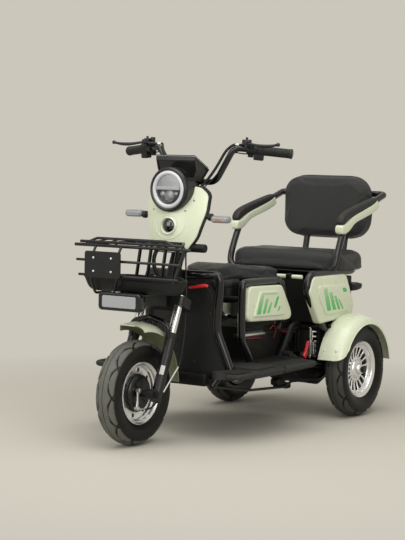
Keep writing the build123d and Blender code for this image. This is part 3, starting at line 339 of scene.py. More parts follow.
node_finish = {
    frame_paint: "fork_sliders fork_yoke backrest_frame rear_springs brake_rod basket"
    " basket_sides basket_back basket_straps",
    gloss_tube: "saddle_frame bench_frame leg_shield_tube armrest_loop handlebar fork_brace",
    matte_plastic: "leg_shield floor_pan hand_controls panel_backing plate_bracket basket_pan",
    inner_black: "storage_box saddle_shroud battery_box main_frame",
    board_plastic: "running_boards armrest_pads",
    cream: "saddle_covers bench_covers rear_fenders armrest_covers front_panel front_fender",
    # The front axle is chrome; it is given this dark steel as painted shade, since most of it lies
    # in shade.
    steel: "rear_axle front_axle",
    drum_paint: "brake_plate",
    vinyl: "bench_cushion backrest_pad saddle",
    chrome: "fork_tubes badge_dome",
    alloy: "front_rim rear_rim_left rear_rim_right headlight_lens",
    rubber: "grips front_tyre rear_tyre_left rear_tyre_right",
    lamp_plastic: "headlight_shell turn_signals position_lamp dash_cover",
    red_lens: "tail_lamps",
}
for material, names in node_finish.items():
    for name in names.split():
        nodes[name].data.materials.clear()
        nodes[name].data.materials.append(material)

# ---- Modelling helpers; small sizes are in millimetres ----

SIDE = Vector((1, 0, 0))
REAR = Vector((0, 1, 0))
UP = Vector((0, 0, 1))
FRONT = Vector((0, -1, 0))


def facing(origin, right, up):
    """A frame whose x and y lie in a face and whose z looks out of it."""
    right, up = Vector(right).normalized(), Vector(up).normalized()
    out = right.cross(up).normalized()
    up = out.cross(right)
    return Matrix.Translation(origin) @ Matrix((right, up, out)).transposed().to_4x4()


def head_on(across, behind, up):
    """The frame of a face that looks forward, through a place in millimetres."""
    return facing(at(across, behind, up), SIDE, UP)


def side_on(across):
    """The frame of a face that looks to the rider's left; x runs rearward and y up."""
    return facing(at(across, 0, 0), REAR, UP)


def turned(origin, axis):
    """A frame whose z runs along an axis."""
    return Matrix.Translation(origin) @ Vector(axis).to_track_quat("Z", "Y").to_matrix().to_4x4()


def bevelled(part, items, offset, segments, affect="EDGES"):
    bmesh.ops.bevel(
        part, geom=items, offset=offset / 1000, segments=segments, affect=affect, profile=0.5,
        material=-1,
    )


def split(part, place, normal, **cleared):
    """Cut a bmesh along a plane."""
    everything = part.verts[:] + part.edges[:] + part.faces[:]
    bmesh.ops.bisect_plane(part, geom=everything, plane_co=place, plane_no=normal, **cleared)


def raised(part, faces, out):
    """Move a copy of faces outward, wall in the gap and return the moved faces."""
    grown = bmesh.ops.extrude_face_region(part, geom=faces, use_keep_orig=True)["geom"]
    moved = [item for item in grown if isinstance(item, bmesh.types.BMVert)]
    bmesh.ops.translate(part, vec=out, verts=moved)
    return [item for item in grown if isinstance(item, bmesh.types.BMFace)]


def flat_face(basis, corners, rounding, segments):
    """A new bmesh that holds one flat face with rounded corners."""
    part = bmesh.new()
    part.faces.new([part.verts.new(basis @ Vector((x / 1000, y / 1000, 0))) for x, y in corners])
    if rounding:
        bevelled(part, part.verts[:], rounding, segments, "VERTICES")
    return part, max(part.faces, key=lambda face: face.calc_area())


def swept(mesh, places, hub, axis, angle, steps, **more):
    """Turn a line of places about a hub."""
    verts = [mesh.verts.new(place) for place in places]
    edges = [mesh.edges.new(pair) for pair in zip(verts, verts[1:])]
    bmesh.ops.spin(
        mesh, geom=verts + edges, cent=hub, axis=axis, angle=angle, steps=steps, **more
    )


def lathe(mesh, profile, origin, axis, steps=48):
    """Turn a profile of (radius, along) about an axis."""
    basis = turned(origin, axis)
    places = [basis @ Vector((r / 1000, 0, a / 1000)) for r, a in profile]
    swept(mesh, places, origin, Vector(axis).normalized(), 2 * pi, steps, use_merge=True)


def rod(mesh, start, end, radius, end_radius=None, sides=20):
    """A straight round rod with a small bevel at each end."""
    end_radius = radius if end_radius is None else end_radius
    length = (end - start).length
    lip = min(1.0, radius * 0.2, length * 400)
    lathe(
        mesh,
        [(0, 0), (radius - lip, 0), (radius, lip), (end_radius, length * 1000 - lip),
         (end_radius - lip, length * 1000), (0, length * 1000)],
        start, end - start, sides,
    )


def pour(part, mesh):
    """Add one bmesh's shape to another."""
    carry = bpy.data.meshes.new("carry")
    part.to_mesh(carry)
    part.free()
    mesh.from_mesh(carry)
    bpy.data.meshes.remove(carry)


def slab(mesh, basis, corners, thickness, rounding=0.0, edge=0.0):
    """A flat plate from its corners, with rounded corners and a softened front rim."""
    part, base = flat_face(basis, corners, rounding, 6)
    out = basis.to_3x3() @ Vector((0, 0, thickness / 1000))
    top = raised(part, [base], out)
    if edge:
        bevelled(part, [rim for face in top for rim in face.edges], edge, 3)
        part.normal_update()
        level = [face for face in part.faces if face.normal.dot(out.normalized()) > 0.999]
        if level:
            bmesh.ops.inset_region(part, faces=level, thickness=0.0006)
    pour(part, mesh)


def box_corners(width, height):
    return [(-width / 2, -height / 2), (width / 2, -height / 2), (width / 2, height / 2),
            (-width / 2, height / 2)]


def mirror_across(mesh):
    bmesh.ops.mirror(mesh, geom=mesh.verts[:] + mesh.edges[:] + mesh.faces[:], axis="X")


def finish_piece(name, mesh, material, body, angle=38, replaces=()):
    """Turn a finished bmesh into a piece that rides on a body."""
    bmesh.ops.remove_doubles(mesh, verts=mesh.verts, dist=0.00002)
    bmesh.ops.recalc_face_normals(mesh, faces=mesh.faces)
    data = bpy.data.meshes.new(name)
    mesh.to_mesh(data)
    mesh.free()
    return dress(name, data, material, body, angle, replaces)


def turned_piece(name, profile, place, axis, steps, material, body, angle=38, replaces=()):
    """A piece made of one turned profile."""
    mesh = bmesh.new()
    lathe(mesh, profile, place, axis, steps)
    return finish_piece(name, mesh, material, body, angle, replaces)


def dress(name, data, material, body, angle=38, replaces=()):
    data.shade_smooth()
    data.set_sharp_from_angle(angle=radians(angle))
    return place_piece(name, data, material, body, replaces)


def linked(name, data):
    thing = bpy.data.objects.new(name, data)
    scene.collection.objects.link(thing)
    return thing


def place_piece(name, data, material, body, replaces):
    data.materials.append(material)
    piece = linked(name, data)
    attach(piece, body)
    if replaces:
        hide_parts(*replaces)
    return piece


def paint_fender_inner_shade(piece, hub):
    """Give the faces of a fender that look at its wheel a darker cream: painted shade on the
    fender's inside.
    """
    piece.data.materials.append(cream_painted_shade)
    for face in piece.data.polygons:
        away = face.center - Vector((copysign(hub.x, face.center.x), hub.y, hub.z))
        away.x *= 0.4
        if face.normal.dot(away.normalized()) < -0.12:
            face.material_index = 1


def smooth_line(name, points, resolution):
    """A curve that runs smoothly along its points."""
    data = bpy.data.curves.new(name, "CURVE")
    data.dimensions = "3D"
    spline = data.splines.new("NURBS")
    spline.points.add(len(points) - 1)
    for place, point in zip(spline.points, trace(points)):
        place.co = (*point, 1)
    spline.order_u = 3
    spline.use_endpoint_u = True
    data.resolution_u = resolution
    return data


def wire(name, points, radius, material, body, replaces=()):
    """A held cable or bent wire along one smooth line."""
    data = smooth_line(name, points, 8)
    data.bevel_depth = radius / 1000
    data.bevel_resolution = 3
    data.use_fill_caps = True
    return place_piece(name, data, material, body, replaces)


def limb(mesh, stations, sides=16, up=UP, square=1.0):
    """A smooth arm through stations of a place, half width and half height.

    A place is three millimetre values or one place in the frame, and a square below 1
    flattens the sides.
    """
    rings = []
    stations = [(trace(place if len(place) == 1 else [place])[0], wide, tall)
                for *place, wide, tall in stations]
    last = len(stations) - 1
    for index, (place, wide, tall) in enumerate(stations):
        out = stations[min(index + 1, last)][0] - stations[max(index - 1, 0)][0]
        across = up.cross(out).normalized()
        top = out.cross(across).normalized()
        ring = []
        for side in range(sides):
            angle = 2 * pi * side / sides
            right = copysign(abs(cos(angle)) ** square, cos(angle)) * wide
            rise = copysign(abs(sin(angle)) ** square, sin(angle)) * tall
            ring.append(place + across * (right / 1000) + top * (rise / 1000))
        rings.append(ring)
    loft(mesh, rings)


def soften(piece):
    smooth = piece.modifiers.new("smooth", "SUBSURF")
    smooth.levels = smooth.render_levels = 1
    return piece


def settled(thing):
    """The mesh that an object's modifiers give; the object itself goes."""
    seen = thing.evaluated_get(bpy.context.evaluated_depsgraph_get())
    data = bpy.data.meshes.new_from_object(seen)
    bpy.data.objects.remove(thing)
    return data


def bolt(mesh, place, normal, radius=4.0, height=2.5):
    """A low domed bolt head."""
    lathe(
        mesh,
        [(0, height), (radius * 0.55, height * 0.94), (radius * 0.88, height * 0.66),
         (radius, height * 0.1), (radius, -1)],
        place, normal, 18,
    )


def block(mesh, basis, width, height, depth, edge):
    """A moulded housing with rounded edges all round."""
    part = bmesh.new()
    size = Matrix.Diagonal((width / 1000, height / 1000, depth / 1000, 1))
    bmesh.ops.create_cube(part, size=1, matrix=basis @ size)
    bevelled(part, part.edges[:], edge, 4)
    pour(part, mesh)


def tray(mesh, basis, corners, thickness, rim, depth, rounding=0.0):
    """A plate whose face is set back inside a rim."""
    part, base = flat_face(basis, corners, rounding, 4)
    out = basis.to_3x3() @ Vector((0, 0, 1))
    top = raised(part, [base], out * (thickness / 1000))
    bmesh.ops.inset_region(part, faces=top, thickness=rim / 1000)
    bmesh.ops.inset_region(part, faces=top, thickness=0.0008)
    bmesh.ops.translate(
        part, vec=out * (-depth / 1000), verts=list({vert for face in top for vert in face.verts})
    )
    pour(part, mesh)


def rounded(corners, radius, steps=6):
    """A flat outline with its corners swapped for bends."""
    path = []
    for index, corner in enumerate(corners):
        here = Vector(corner)
        behind = Vector(corners[index - 1]) - here
        ahead = Vector(corners[(index + 1) % len(corners)]) - here
        reach = radius / tan(behind.angle(ahead) / 2)
        reach = min(reach, 0.48 * behind.length, 0.48 * ahead.length)
        start, end = here + behind.normalized() * reach, here + ahead.normalized() * reach
        for step in range(steps + 1):
            t = step / steps
            path.append(start * (1 - t) ** 2 + here * (2 * t * (1 - t)) + end * t**2)
    return path


def loft(mesh, rings):
    """Skin a stack of matching rings and close both ends."""
    rows = [[mesh.verts.new(place) for place in ring] for ring in rings]
    for first, second in zip(rows, rows[1:]):
        for index in range(len(first)):
            mesh.faces.new((first[index - 1], first[index], second[index], second[index - 1]))
    mesh.faces.new(rows[0])
    mesh.faces.new(rows[-1][::-1])


def stacked(mesh, plan, middle, rings):
    """A body through copies of a plan, each scaled about its middle and set at a height."""
    loft(mesh, [[at(p.x * s, middle + (p.y - middle) * s, up) for p in plan] for s, up in rings])


def loom(name, points, radius, material, body, pitch=4.5):
    """A ribbed cable sleeve along one smooth line."""
    guide = linked(name + "_line", smooth_line(name + "_line", points, 24))
    route = [vert.co.copy() for vert in settled(guide).vertices]
    stations = []
    travelled, due, rib = 0.0, 0.0, 0
    for first, second in zip(route, route[1:]):
        length = (second - first).length
        while length and travelled + length >= due:
            place = first.lerp(second, (due - travelled) / length)
            size = (radius, radius, radius - 1.1, radius - 1.1)[rib % 4]
            stations.append((place, size, size))
            due += (pitch / 1000) * (0.4, 0.1, 0.4, 0.1)[rib % 4]
            rib += 1
        travelled += length
    mesh = bmesh.new()
    limb(mesh, stations, 14, Vector((1, 0.01, 0.02)).normalized())
    return finish_piece(name, mesh, material, body, 60)


# ---- Tyres ----

tread_periods = 10
groove_reach = 24.0
shoulder_radius = 158
widest = 42


def groove_depth(across, turn, radius):
    """How deep the tread is cut at a place, in millimetres."""
    side = 1 if across >= 0 else -1
    x = abs(across)
    phase = turn * tread_periods / (2 * pi) + (0.5 if side < 0 else 0)
    phase -= round(phase)
    pitch = 2 * pi * radius / tread_periods
    depth = 3.2 * max(0.0, 1 - (x / 1.3) ** 2)
    if 17 <= x <= 44:
        t = sqrt((x - 17) / groove_reach)
        slope = 0.62 * pitch / (2 * groove_reach * max(t, 0.12))
        for centre in (0.62 * t, -0.62 * t, 1 - 0.62 * t, 0.62 * t - 1):
            away = abs(phase - centre) * pitch / sqrt(1 + slope**2)
            depth = max(depth, 4.2 * max(0.0, 1 - (away / 3.2) ** 2))
    return depth


def tyre(name, node, body, dust_and_shade):
    """A tyre with a cut tread, mould rings on its walls and a dusty tread, whose share of that
    colour is lowered on the rear tyres as painted shade.
    """
    hub = hub_of(node)
    wall = [(27, 108), (30, 112), (35.5, 119), (39.6, 127), (41.6, 135), (42, 142), (41.3, 149),
            (40, 156), (38, 162), (36.2, 166)]
    crown = [(x, 181 - 13 * (x / 35) ** 2) for x in (34.5, 32.5, 30.5, 28.5, 26.5, 24.5, 22.5,
             20.5, 18.5, 16.5, 14, 11, 8, 5, 3, 2, 1.2, 0.5)]
    profile = both_halves(mirrored(wall + crown))
    mesh = bmesh.new()
    places = [hub + Vector((x / 1000, 0, r / 1000)) for x, r in profile]
    swept(mesh, places, hub, SIDE, 2 * pi, 432, use_merge=True)
    tread = mesh.verts.layers.float.new("tread")
    for vert in mesh.verts:
        offset = vert.co - hub
        radius = hypot(offset.y, offset.z) * 1000
        turn = atan2(offset.y, offset.z)
        across = offset.x * 1000
        cut = groove_depth(across, turn, radius) if radius > shoulder_radius else 0.0
        ridge = 0.5 * max(0.0, 1 - ((radius - 150) / 1.6) ** 2)
        ridge += 0.6 * max(0.0, 1 - ((radius - 121) / 2.2) ** 2)
        vert.co = hub + offset * ((radius - cut) / radius)
        ridge = min(ridge, widest - abs(across))
        vert.co.x += (1 if across > 0 else -1) * ridge / 1000
        vert[tread] = dust_and_shade * held((radius - 163) / 4) * (1 - min(1.0, cut / 2.5))
    return finish_piece(name, mesh, tyre_finish, body, 60, (node,))


tyre("front_tyre_tread", "front_tyre", "front_wheel", 1.0)
# The rear treads get a smaller share of the dusty colour: painted shade under the fenders.
tyre("rear_tyre_tread_left", "rear_tyre_left", "rear_wheel_left", 0.45)
tyre("rear_tyre_tread_right", "rear_tyre_right", "rear_wheel_right", 0.45)

# ---- Cushions; sizes here are in metres ----

most_swell = 0.006
inner_pressure = 4.0
cloth_frames = 20
voxel = 0.005


def cushion(node, name, body, rest, shape):
    """A padded piece: the node's form, remeshed, shaped, blown up a little and capped."""
    source = nodes[node]
    data = source.data.copy()
    data.transform(source.matrix_world)
    solid = linked(name + "_block", data)
    remesh = solid.modifiers.new("remesh", "REMESH")
    remesh.mode = "VOXEL"
    remesh.voxel_size = voxel
    data = settled(solid)
    mesh = bmesh.new()
    mesh.from_mesh(data)
    for step in range(3):
        bmesh.ops.smooth_vert(
            mesh, verts=mesh.verts, factor=0.5, use_axis_x=True, use_axis_y=True, use_axis_z=True
        )
    for vert in mesh.verts:
        vert.co = shape(vert.co)
    mesh.to_mesh(data)
    mesh.free()
    base = [vert.co.copy() for vert in data.vertices]
    soft = linked(name + "_soft", data)
    group = soft.vertex_groups.new(name="held")
    group.add([i for i, co in enumerate(base) if rest(co)], 1.0, "REPLACE")
    cloth = soft.modifiers.new("cloth", "CLOTH")
    cloth.settings.use_pressure = True
    cloth.settings.uniform_pressure_force = inner_pressure
    cloth.settings.vertex_group_mass = "held"
    cloth.settings.effector_weights.gravity = 0
    cloth.settings.quality = 5
    for number in range(1, cloth_frames + 1):
        scene.frame_set(number)
    data = settled(soft)
    for vert, start in zip(data.vertices, base):
        move = vert.co - start
        if move.length > most_swell:
            move *= most_swell / move.length
        vert.co = start + move
    scene.frame_set(1)
    data.materials.clear()
    piece = soften(dress(name, data, vinyl, body, 180, (node,)))


saddle_low, saddle_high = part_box("saddle")
bench_low, bench_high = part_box("bench_cushion")
back_low, back_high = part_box("backrest_pad")


def shrunk(co, low, high, by=0.004):
    """A place of a cushion drawn in towards its middle, to leave room for the swelling."""
    centre = (low + high) / 2
    offset = co - centre
    return centre + Vector(
        (offset[i] * (1 - by / max(0.01, (high[i] - low[i]) / 2)) for i in range(3))
    )


def saddle_fall(co):
    """How much lower the saddle's bottom lies than at its front, in metres."""
    return 0.017 * held(((co.y - front_axle_y) * 1000 - 460) / 250)


def saddle_shape(co):
    """Thinner at the front, with squarer rear corners and a bottom that falls to the rear."""
    co = shrunk(co, saddle_low, saddle_high)
    late = held(((co.y - front_axle_y) * 1000 - 610) / 100)
    co.x = copysign(min(abs(co.x) * (1 + 0.27 * late**2), 0.142), co.x)
    floor = 0.545 - saddle_fall(co)
    top = saddle_high.z
    co.z = top - (top - co.z) * (top - floor) / (top - saddle_low.z)
    return co


def bench_shape(co):
    """Deeper than its base, so that it laps over the seat frame."""
    co = shrunk(co, bench_low, bench_high)
    co.z = bench_high.z - (bench_high.z - co.z) * 1.22
    early = held((1.08 - (co.y - front_axle_y)) / 0.1)
    return Vector((co.x * 1.02, co.y - 0.010 * early, co.z))


cushion(
    "saddle", "saddle_cushion", "saddle_lid",
    lambda co: co.z < 0.551 - saddle_fall(co), saddle_shape,
)
cushion(
    "bench_cushion", "bench_seat", "chassis",
    lambda co: co.z < bench_low.z - 0.006, bench_shape,
)
cushion(
    "backrest_pad", "backrest_cushion", "chassis",
    lambda co: co.y > back_high.y - 0.010, lambda co: shrunk(co, back_low, back_high),
)

# ---- Armrests and the underside of the saddle ----

pad_line = [(989, 735, 11, 5), (993, 742, 16.5, 12), (1005, 755, 17.5, 17.5),
            (1027, 766, 17.5, 18.5), (1062, 777, 17.5, 17.5), (1110, 789, 17.5, 16.5),
            (1170, 803, 17.5, 15.5), (1232, 817, 17.5, 14.5), (1266, 825, 16.5, 12),
            (1278, 828, 12, 7)]
cover_line = [(982, 716, 14, 8), (984, 716, 17, 15), (992, 717, 18, 19), (1010, 719, 18, 20),
              (1028, 723, 18, 20), (1048, 735, 18, 19), (1070, 749, 18, 17.5), (1096, 759, 18, 17),
              (1140, 769, 18, 17), (1200, 785, 18, 19), (1254, 803, 18, 21), (1268, 812, 18, 22),
              (1274, 816, 15, 18)]
loop_line = [(204, 950, 552), (226, 953, 562), (236, 959, 580), (238, 966, 606), (238, 984, 645),
             (237, 1012, 700), (237, 1042, 742), (236, 1090, 770), (236, 1180, 794),
             (236, 1262, 818), (236, 1320, 836), (236, 1353, 846), (190, 1353, 846),
             (60, 1353, 846)]
mesh = bmesh.new()
limb(mesh, [(237, *station) for station in pad_line], 24, square=0.66)
mirror_across(mesh)
pads = finish_piece("armrest_cushions", mesh, board_plastic, "chassis", 80, ("armrest_pads",))
soften(pads)
mesh = bmesh.new()
limb(mesh, [(237, *station) for station in cover_line], 24, square=0.5)
mirror_across(mesh)
soften(finish_piece("armrest_channels", mesh, cream, "chassis", 80, ("armrest_covers",)))
loop_line += mirrored(reversed(loop_line))
wire("armrest_hoop", loop_line, 13, gloss_tube, "chassis", ("armrest_loop",))

mesh = bmesh.new()
lobe_plan = rounded([(-60, 392), (60, 392), (112, 440), (118, 500), (-118, 500), (-112, 440)], 34)
lobe_rings = ((0.90, 512), (0.96, 515), (1.0, 523), (1.0, 538), (0.97, 546), (0.90, 550))
stacked(mesh, lobe_plan, 450, lobe_rings)
base_plan = rounded([(-88, 420), (88, 420), (136, 560), (138, 708), (-138, 708), (-136, 560)], 40)
base_rings = ((0.93, 524), (0.96, 527), (0.97, 540))
stacked(mesh, base_plan, 570, base_rings)
finish_piece("saddle_underside", mesh, matte_plastic, "saddle_lid", 60)

# ---- Headlight ----

lamp_centre = face_centre("headlight_lens")

bezel_ring = [(66, -5), (66, 0.5), (71, 2.4), (75, 1.2), (77.5, -2), (78.4, -6)]
turned_piece("headlight_bezel", bezel_ring, lamp_centre, FRONT, 96, lamp_plastic, "steering")
turned_piece(
    "headlight_halo",
    [(66, -4), (66, 0), (64, 2.5), (60, 4), (56, 3.6), (53, 1.5), (51.5, -3)],
    lamp_centre, FRONT, 96, halo_ring, "steering", replaces=("headlight_lens",),
)
for name, material, cleared in (
    ("headlight_reflector", reflector, "clear_inner"),
    ("headlight_lower_lens", dark_glass, "clear_outer"),
):
    mesh = bmesh.new()
    lathe(mesh, [(0, -1.2), (20, -1.4), (40, -2.4), (53, -4)], lamp_centre, FRONT, 96)
    split(mesh, lamp_centre + UP * 0.006, UP, **{cleared: True})
    finish_piece(name, mesh, material, "steering")

mesh = bmesh.new()
slab(mesh, facing(lamp_centre + UP * 0.005, SIDE, UP), box_corners(100, 12), 2.6, 2, 1.2)
finish_piece("headlight_bar", mesh, pale_lens, "steering")

# ---- Position lamp and badge ring ----

mesh = bmesh.new()
lens_place = face_centre("position_lamp") + REAR * 0.0008
slab(mesh, facing(lens_place, SIDE, UP), box_corners(140, 40), 2.4, 6, 1.4)
finish_piece("position_lens", mesh, pale_lens, "steering")

badge_centre = face_centre("badge_dome")
badge_rim = [(24.7, -9), (26.5, -4), (29, -1.6), (32.5, -3.2), (36, -8.5)]
turned_piece("badge_ring", badge_rim, badge_centre, FRONT, 72, cream, "steering")

# ---- Handlebar: levers, perches, switch boxes, grips and hoses ----

bar_low_point = at(160, 356, 1022)
bar_end = at(355, 434, 1003)
bar_run = (bar_end - bar_low_point).normalized()
grip_start = bar_end - bar_run * 0.108
perch = bar_end - bar_run * 0.145

mesh = bmesh.new()
lever_line = [(208, 352, 1036, 5, 4.5), (222, 347, 1037, 9, 5.5), (242, 344, 1035, 7.5, 4.5),
              (262, 340, 1031, 8.5, 5.4), (288, 337, 1028.5, 9.5, 6.6), (314, 336, 1029, 8.5, 6.2),
              (336, 336.5, 1031.5, 5, 4.6), (345, 337, 1033.5, 4.2, 4.2),
              (350, 337, 1034.5, 7.2, 7.2), (355, 337, 1035, 7.2, 7.2),
              (358.5, 337.3, 1035.2, 4.2, 4.2)]
limb(mesh, lever_line)
mirror_across(mesh)
soften(finish_piece("hand_levers", mesh, frame_paint, "steering", replaces=("hand_controls",)))

mesh = bmesh.new()
lathe(
    mesh,
    [(11.2, -13), (16.5, -13), (17.5, -12), (17.5, -1.5), (16.6, -0.6), (16.6, 0.6), (17.5, 1.5),
     (17.5, 12), (16.5, 13), (11.2, 13)],
    perch - bar_run * 0.006, bar_run, 36,
)
limb(
    mesh,
    [
        (perch + Vector((0, -0.006, 0.006)), 12, 13),
        (perch + Vector((0.001, -0.018, 0.015)), 11, 9),
        (219, 353, 1036, 10, 7), (222, 345, 1037, 9, 7), (224, 340, 1037, 5, 5),
    ],
)
rod(mesh, at(222, 347, 1028), at(222, 347, 1047), 6.5)
lathe(mesh, [(0, 5), (5, 5), (9, 3.6), (9.6, 0), (9.6, -2)], at(222, 347, 1043), UP, 24)
rod(mesh, at(219, 352, 1035), at(176, 366, 1032.5), 4.6, 4.0)
for offset in (-5, 5):
    bolt(mesh, perch + Vector((offset / 1000, 0.004, 0.017)), (0.1, 0.35, 1), 3.2, 2.4)
mirror_across(mesh)
boss = [(0, 20), (3.4, 20), (4.2, 19), (4.2, 9.5), (6, 9)]
block(mesh, head_on(199, 378, 1043), 29, 17, 24, 4)
lathe(mesh, boss, at(199, 378, 1039.5), UP, 20)
block(mesh, head_on(-228, 374, 1042), 20, 20, 20, 4)
lathe(mesh, boss, at(-228, 374, 1039.5), UP, 20)
block(mesh, head_on(-209, 382, 1045), 14, 22, 15, 3)
finish_piece("lever_perches", mesh, frame_paint, "steering", 34)

mesh = bmesh.new()
rod(mesh, at(176, 366, 1032.5), at(158, 368, 1033), 4.6, 4.2)
mirror_across(mesh)
finish_piece("hose_ferrules", mesh, white_bolt, "steering")

box_place = perch + bar_run * 0.021
mesh = bmesh.new()
lathe(
    mesh,
    [(11.2, -17), (17.5, -17), (19.6, -14.5), (20.2, -8), (20.2, -1.2), (19.2, 0), (20.2, 1.2),
     (20.2, 12), (19.6, 15.5), (17.5, 17.5), (11.2, 17.5)],
    box_place, bar_run, 40,
)
block(mesh, facing(box_place + Vector((0.002, 0, -0.022)), bar_run, UP), 34, 26, 27, 4.5)
block(mesh, facing(box_place + Vector((-0.030, -0.002, -0.014)), bar_run, UP), 18, 22, 20, 4)
box_back = facing(box_place + Vector((0.002, 0.0135, -0.022)), -bar_run, UP)
slab(mesh, box_back @ Matrix.Translation((0.006, 0.004, 0)), box_corners(14, 8), 3.2, 2, 1.2)
slab(mesh, box_back @ Matrix.Translation((-0.008, -0.002, 0)), box_corners(7, 14), 3.8, 2, 1.2)
slab(mesh, box_back @ Matrix.Translation((0.006, -0.007, 0)), box_corners(12, 5), 2.4, 1.6, 0.8)
mirror_across(mesh)
finish_piece("switch_boxes", mesh, matte_plastic, "steering", 34)

mesh = bmesh.new()
profile = [(11.2, -2), (20, -2), (21, -1), (21, 2.4), (20, 3.4), (16.2, 4.4)]
for ring in range(20):
    along = 7 + ring * 4.4
    profile += [(15.4, along), (16.4, along + 0.7), (16.6, along + 2.2), (16.4, along + 3.2),
                (15.4, along + 3.9)]
profile += [(15.6, 96), (17.2, 97.2), (17.6, 99), (17.6, 103), (16.8, 105), (14, 106), (0, 106)]
lathe(mesh, profile, grip_start, bar_run, 40)
mirror_across(mesh)
finish_piece("grip_sleeves", mesh, rubber, "steering", 30, ("grips",))

left_hose = [(160, 367, 1033), (150, 368, 1032), (136, 367, 1024), (118, 364, 1008),
             (93, 358, 962), (74, 350, 930), (56, 340, 902), (38, 318, 872), (28, 292, 842)]
right_hose = [(160, 367, 1033), (152, 364, 1033), (143, 350, 1022), (128, 344, 990),
              (108, 342, 950), (90, 340, 916), (66, 332, 888), (38, 308, 860), (28, 286, 835)]
wire("brake_hose_left", left_hose, 5.0, rubber, "steering")
wire("brake_hose_right", mirrored(right_hose), 4.4, rubber, "steering")
lead = [(206, 384, 1001), (188, 377, 1001), (172, 371, 1004), (158, 366, 1005), (143, 361, 998),
        (122, 354, 968), (102, 347, 934), (84, 336, 908), (58, 322, 880), (30, 300, 850)]
wire("switch_lead_left", lead, 2.2, rubber, "steering")
wire("switch_lead_right", mirrored(lead), 2.2, rubber, "steering")

# ---- Dash, and the inside of the headlight ----

mesh = bmesh.new()
dash_face = facing(at(0, 237.4, 941), SIDE, Vector((0, -22, 70)))
dash_outline = [(-59, -36), (59, -36), (79, -1), (79, 34), (-79, 34), (-79, -1)]
tray(mesh, dash_face, dash_outline, 3.4, 5, 6, 3)
finish_piece("dash_front", mesh, lamp_plastic, "steering", 30)
mesh = bmesh.new()
slab(
    mesh, facing(at(0, 225.1, 991.7), SIDE, Vector((0, 92, -46))),
    [(-83, -1), (83, -1), (83, 100), (-83, 100)], 2.4, 5, 1.2,
)
finish_piece("dash_lid", mesh, lamp_plastic, "steering", 30)
# A grey line along the lid's front and side edges: a painted highlight on the glossy black lid.
lid_highlight_line = [(-83, 224, 990), (-40, 224, 990), (0, 224, 990), (40, 224, 990), (80, 224, 990),
            (83, 227, 988), (83, 250, 977), (83, 285, 959), (83, 315, 944)]
wire("dash_lid_highlight", lid_highlight_line, 1.3, signal_rim, "steering")

mesh = bmesh.new()
for across, up, radius in ((6, -22, 17), (-24, -17, 9), (33, -15, 7)):
    place = lamp_centre + Vector((across / 1000, 0, up / 1000))
    lathe(
        mesh,
        [(0, 1.6), (radius * 0.5, 1.2), (radius * 0.8, -0.4), (radius, -2.6),
         (radius * 1.06, -2.2), (radius * 1.16, -2.6), (radius * 1.2, -5)],
        place + FRONT * 0.0012, FRONT, 40,
    )
finish_piece("headlight_projectors", mesh, reflector, "steering")
mesh = bmesh.new()
for radius in (31, 38, 45):
    lathe(
        mesh, [(radius + 1.2, -4), (radius + 0.8, 1.4), (radius, 2), (radius - 0.8, 1.4),
               (radius - 1.2, -4)],
        lamp_centre + FRONT * -0.0018, FRONT, 72,
    )
split(mesh, lamp_centre - UP * 0.002, UP, clear_outer=True)
finish_piece("headlight_lens_rings", mesh, dark_glass, "steering")

# ---- Plate bolts and front cables ----

mesh = bmesh.new()
plate_front = face_centre("plate_bracket").y
plate_across, plate_up = -96.5, 617
for across in (plate_across - 37.5, plate_across + 37.5):
    for up in (plate_up - 23, plate_up + 23):
        place = at(across, 0, up)
        place.y = plate_front
        bolt(mesh, place, FRONT, 3.8, 3.0)
finish_piece("plate_bolts", mesh, white_bolt, "steering")

loom("front_loom_left", [(-28, 186, 690), (-30, 172, 668), (-30, 150, 645), (-26, 140, 610),
     (-8, 140, 575), (10, 148, 545), (12, 160, 520)], 7.5, matte_plastic, "steering")
loom("front_loom_right", [(40, 200, 668), (40, 194, 640), (38, 192, 620), (35, 198, 592),
     (30, 212, 560), (22, 206, 528), (16, 180, 505)], 6.5, matte_plastic, "steering")
wire(
    "front_lead", [(54, 208, 690), (66, 200, 665), (70, 190, 640), (58, 176, 600),
    (40, 168, 560), (28, 160, 520)], 3.0, rubber, "steering",
)

# ---- Fork: dust seals, bare sticker, brake arm and cable ----

fork_leg = 78
rake = radians(22.6)
up_fork = Vector((0, sin(rake), cos(rake)))
back_fork = Vector((0, cos(rake), -sin(rake)))


def on_fork(across, up, behind=-30.5):
    """A place in the raked frame of the fork; the legs lie a little ahead of its axis."""
    foot = at(0, 60, 181) + Vector((across / 1000, 0, 0))
    return foot + back_fork * (behind / 1000) + up_fork * (up / 1000)


mesh = bmesh.new()
for side in (-fork_leg, fork_leg):
    lathe(
        mesh,
        [(14.6, 14), (16.5, 13.5), (17.5, 11), (20.6, 9), (21.4, 7), (21.4, 2), (20.4, 0.4),
         (20.4, -6), (19.1, -8)],
        on_fork(side, 191), up_fork, 40,
    )
    lathe(
        mesh, [(19.1, 12), (20, 11), (20, -3), (17, -6), (6, -7), (0, -7)],
        on_fork(side, -36), up_fork, 40,
    )
finish_piece("fork_seals", mesh, rubber, "steering", 30)

mesh = bmesh.new()
sticker_turn = radians(-38)
edge_out = Vector((cos(sticker_turn), 0, 0)) + back_fork * sin(sticker_turn)
line = [mesh.verts.new(on_fork(fork_leg, up) + edge_out * 0.0195) for up in (52, 84)]
edge = mesh.edges.new(line)
bmesh.ops.spin(
    mesh, geom=line + [edge], cent=on_fork(fork_leg, 0), axis=up_fork, angle=radians(-46), steps=8
)
bmesh.ops.solidify(mesh, geom=mesh.faces[:], thickness=0.0004)
finish_piece("slider_sticker", mesh, sticker, "steering")

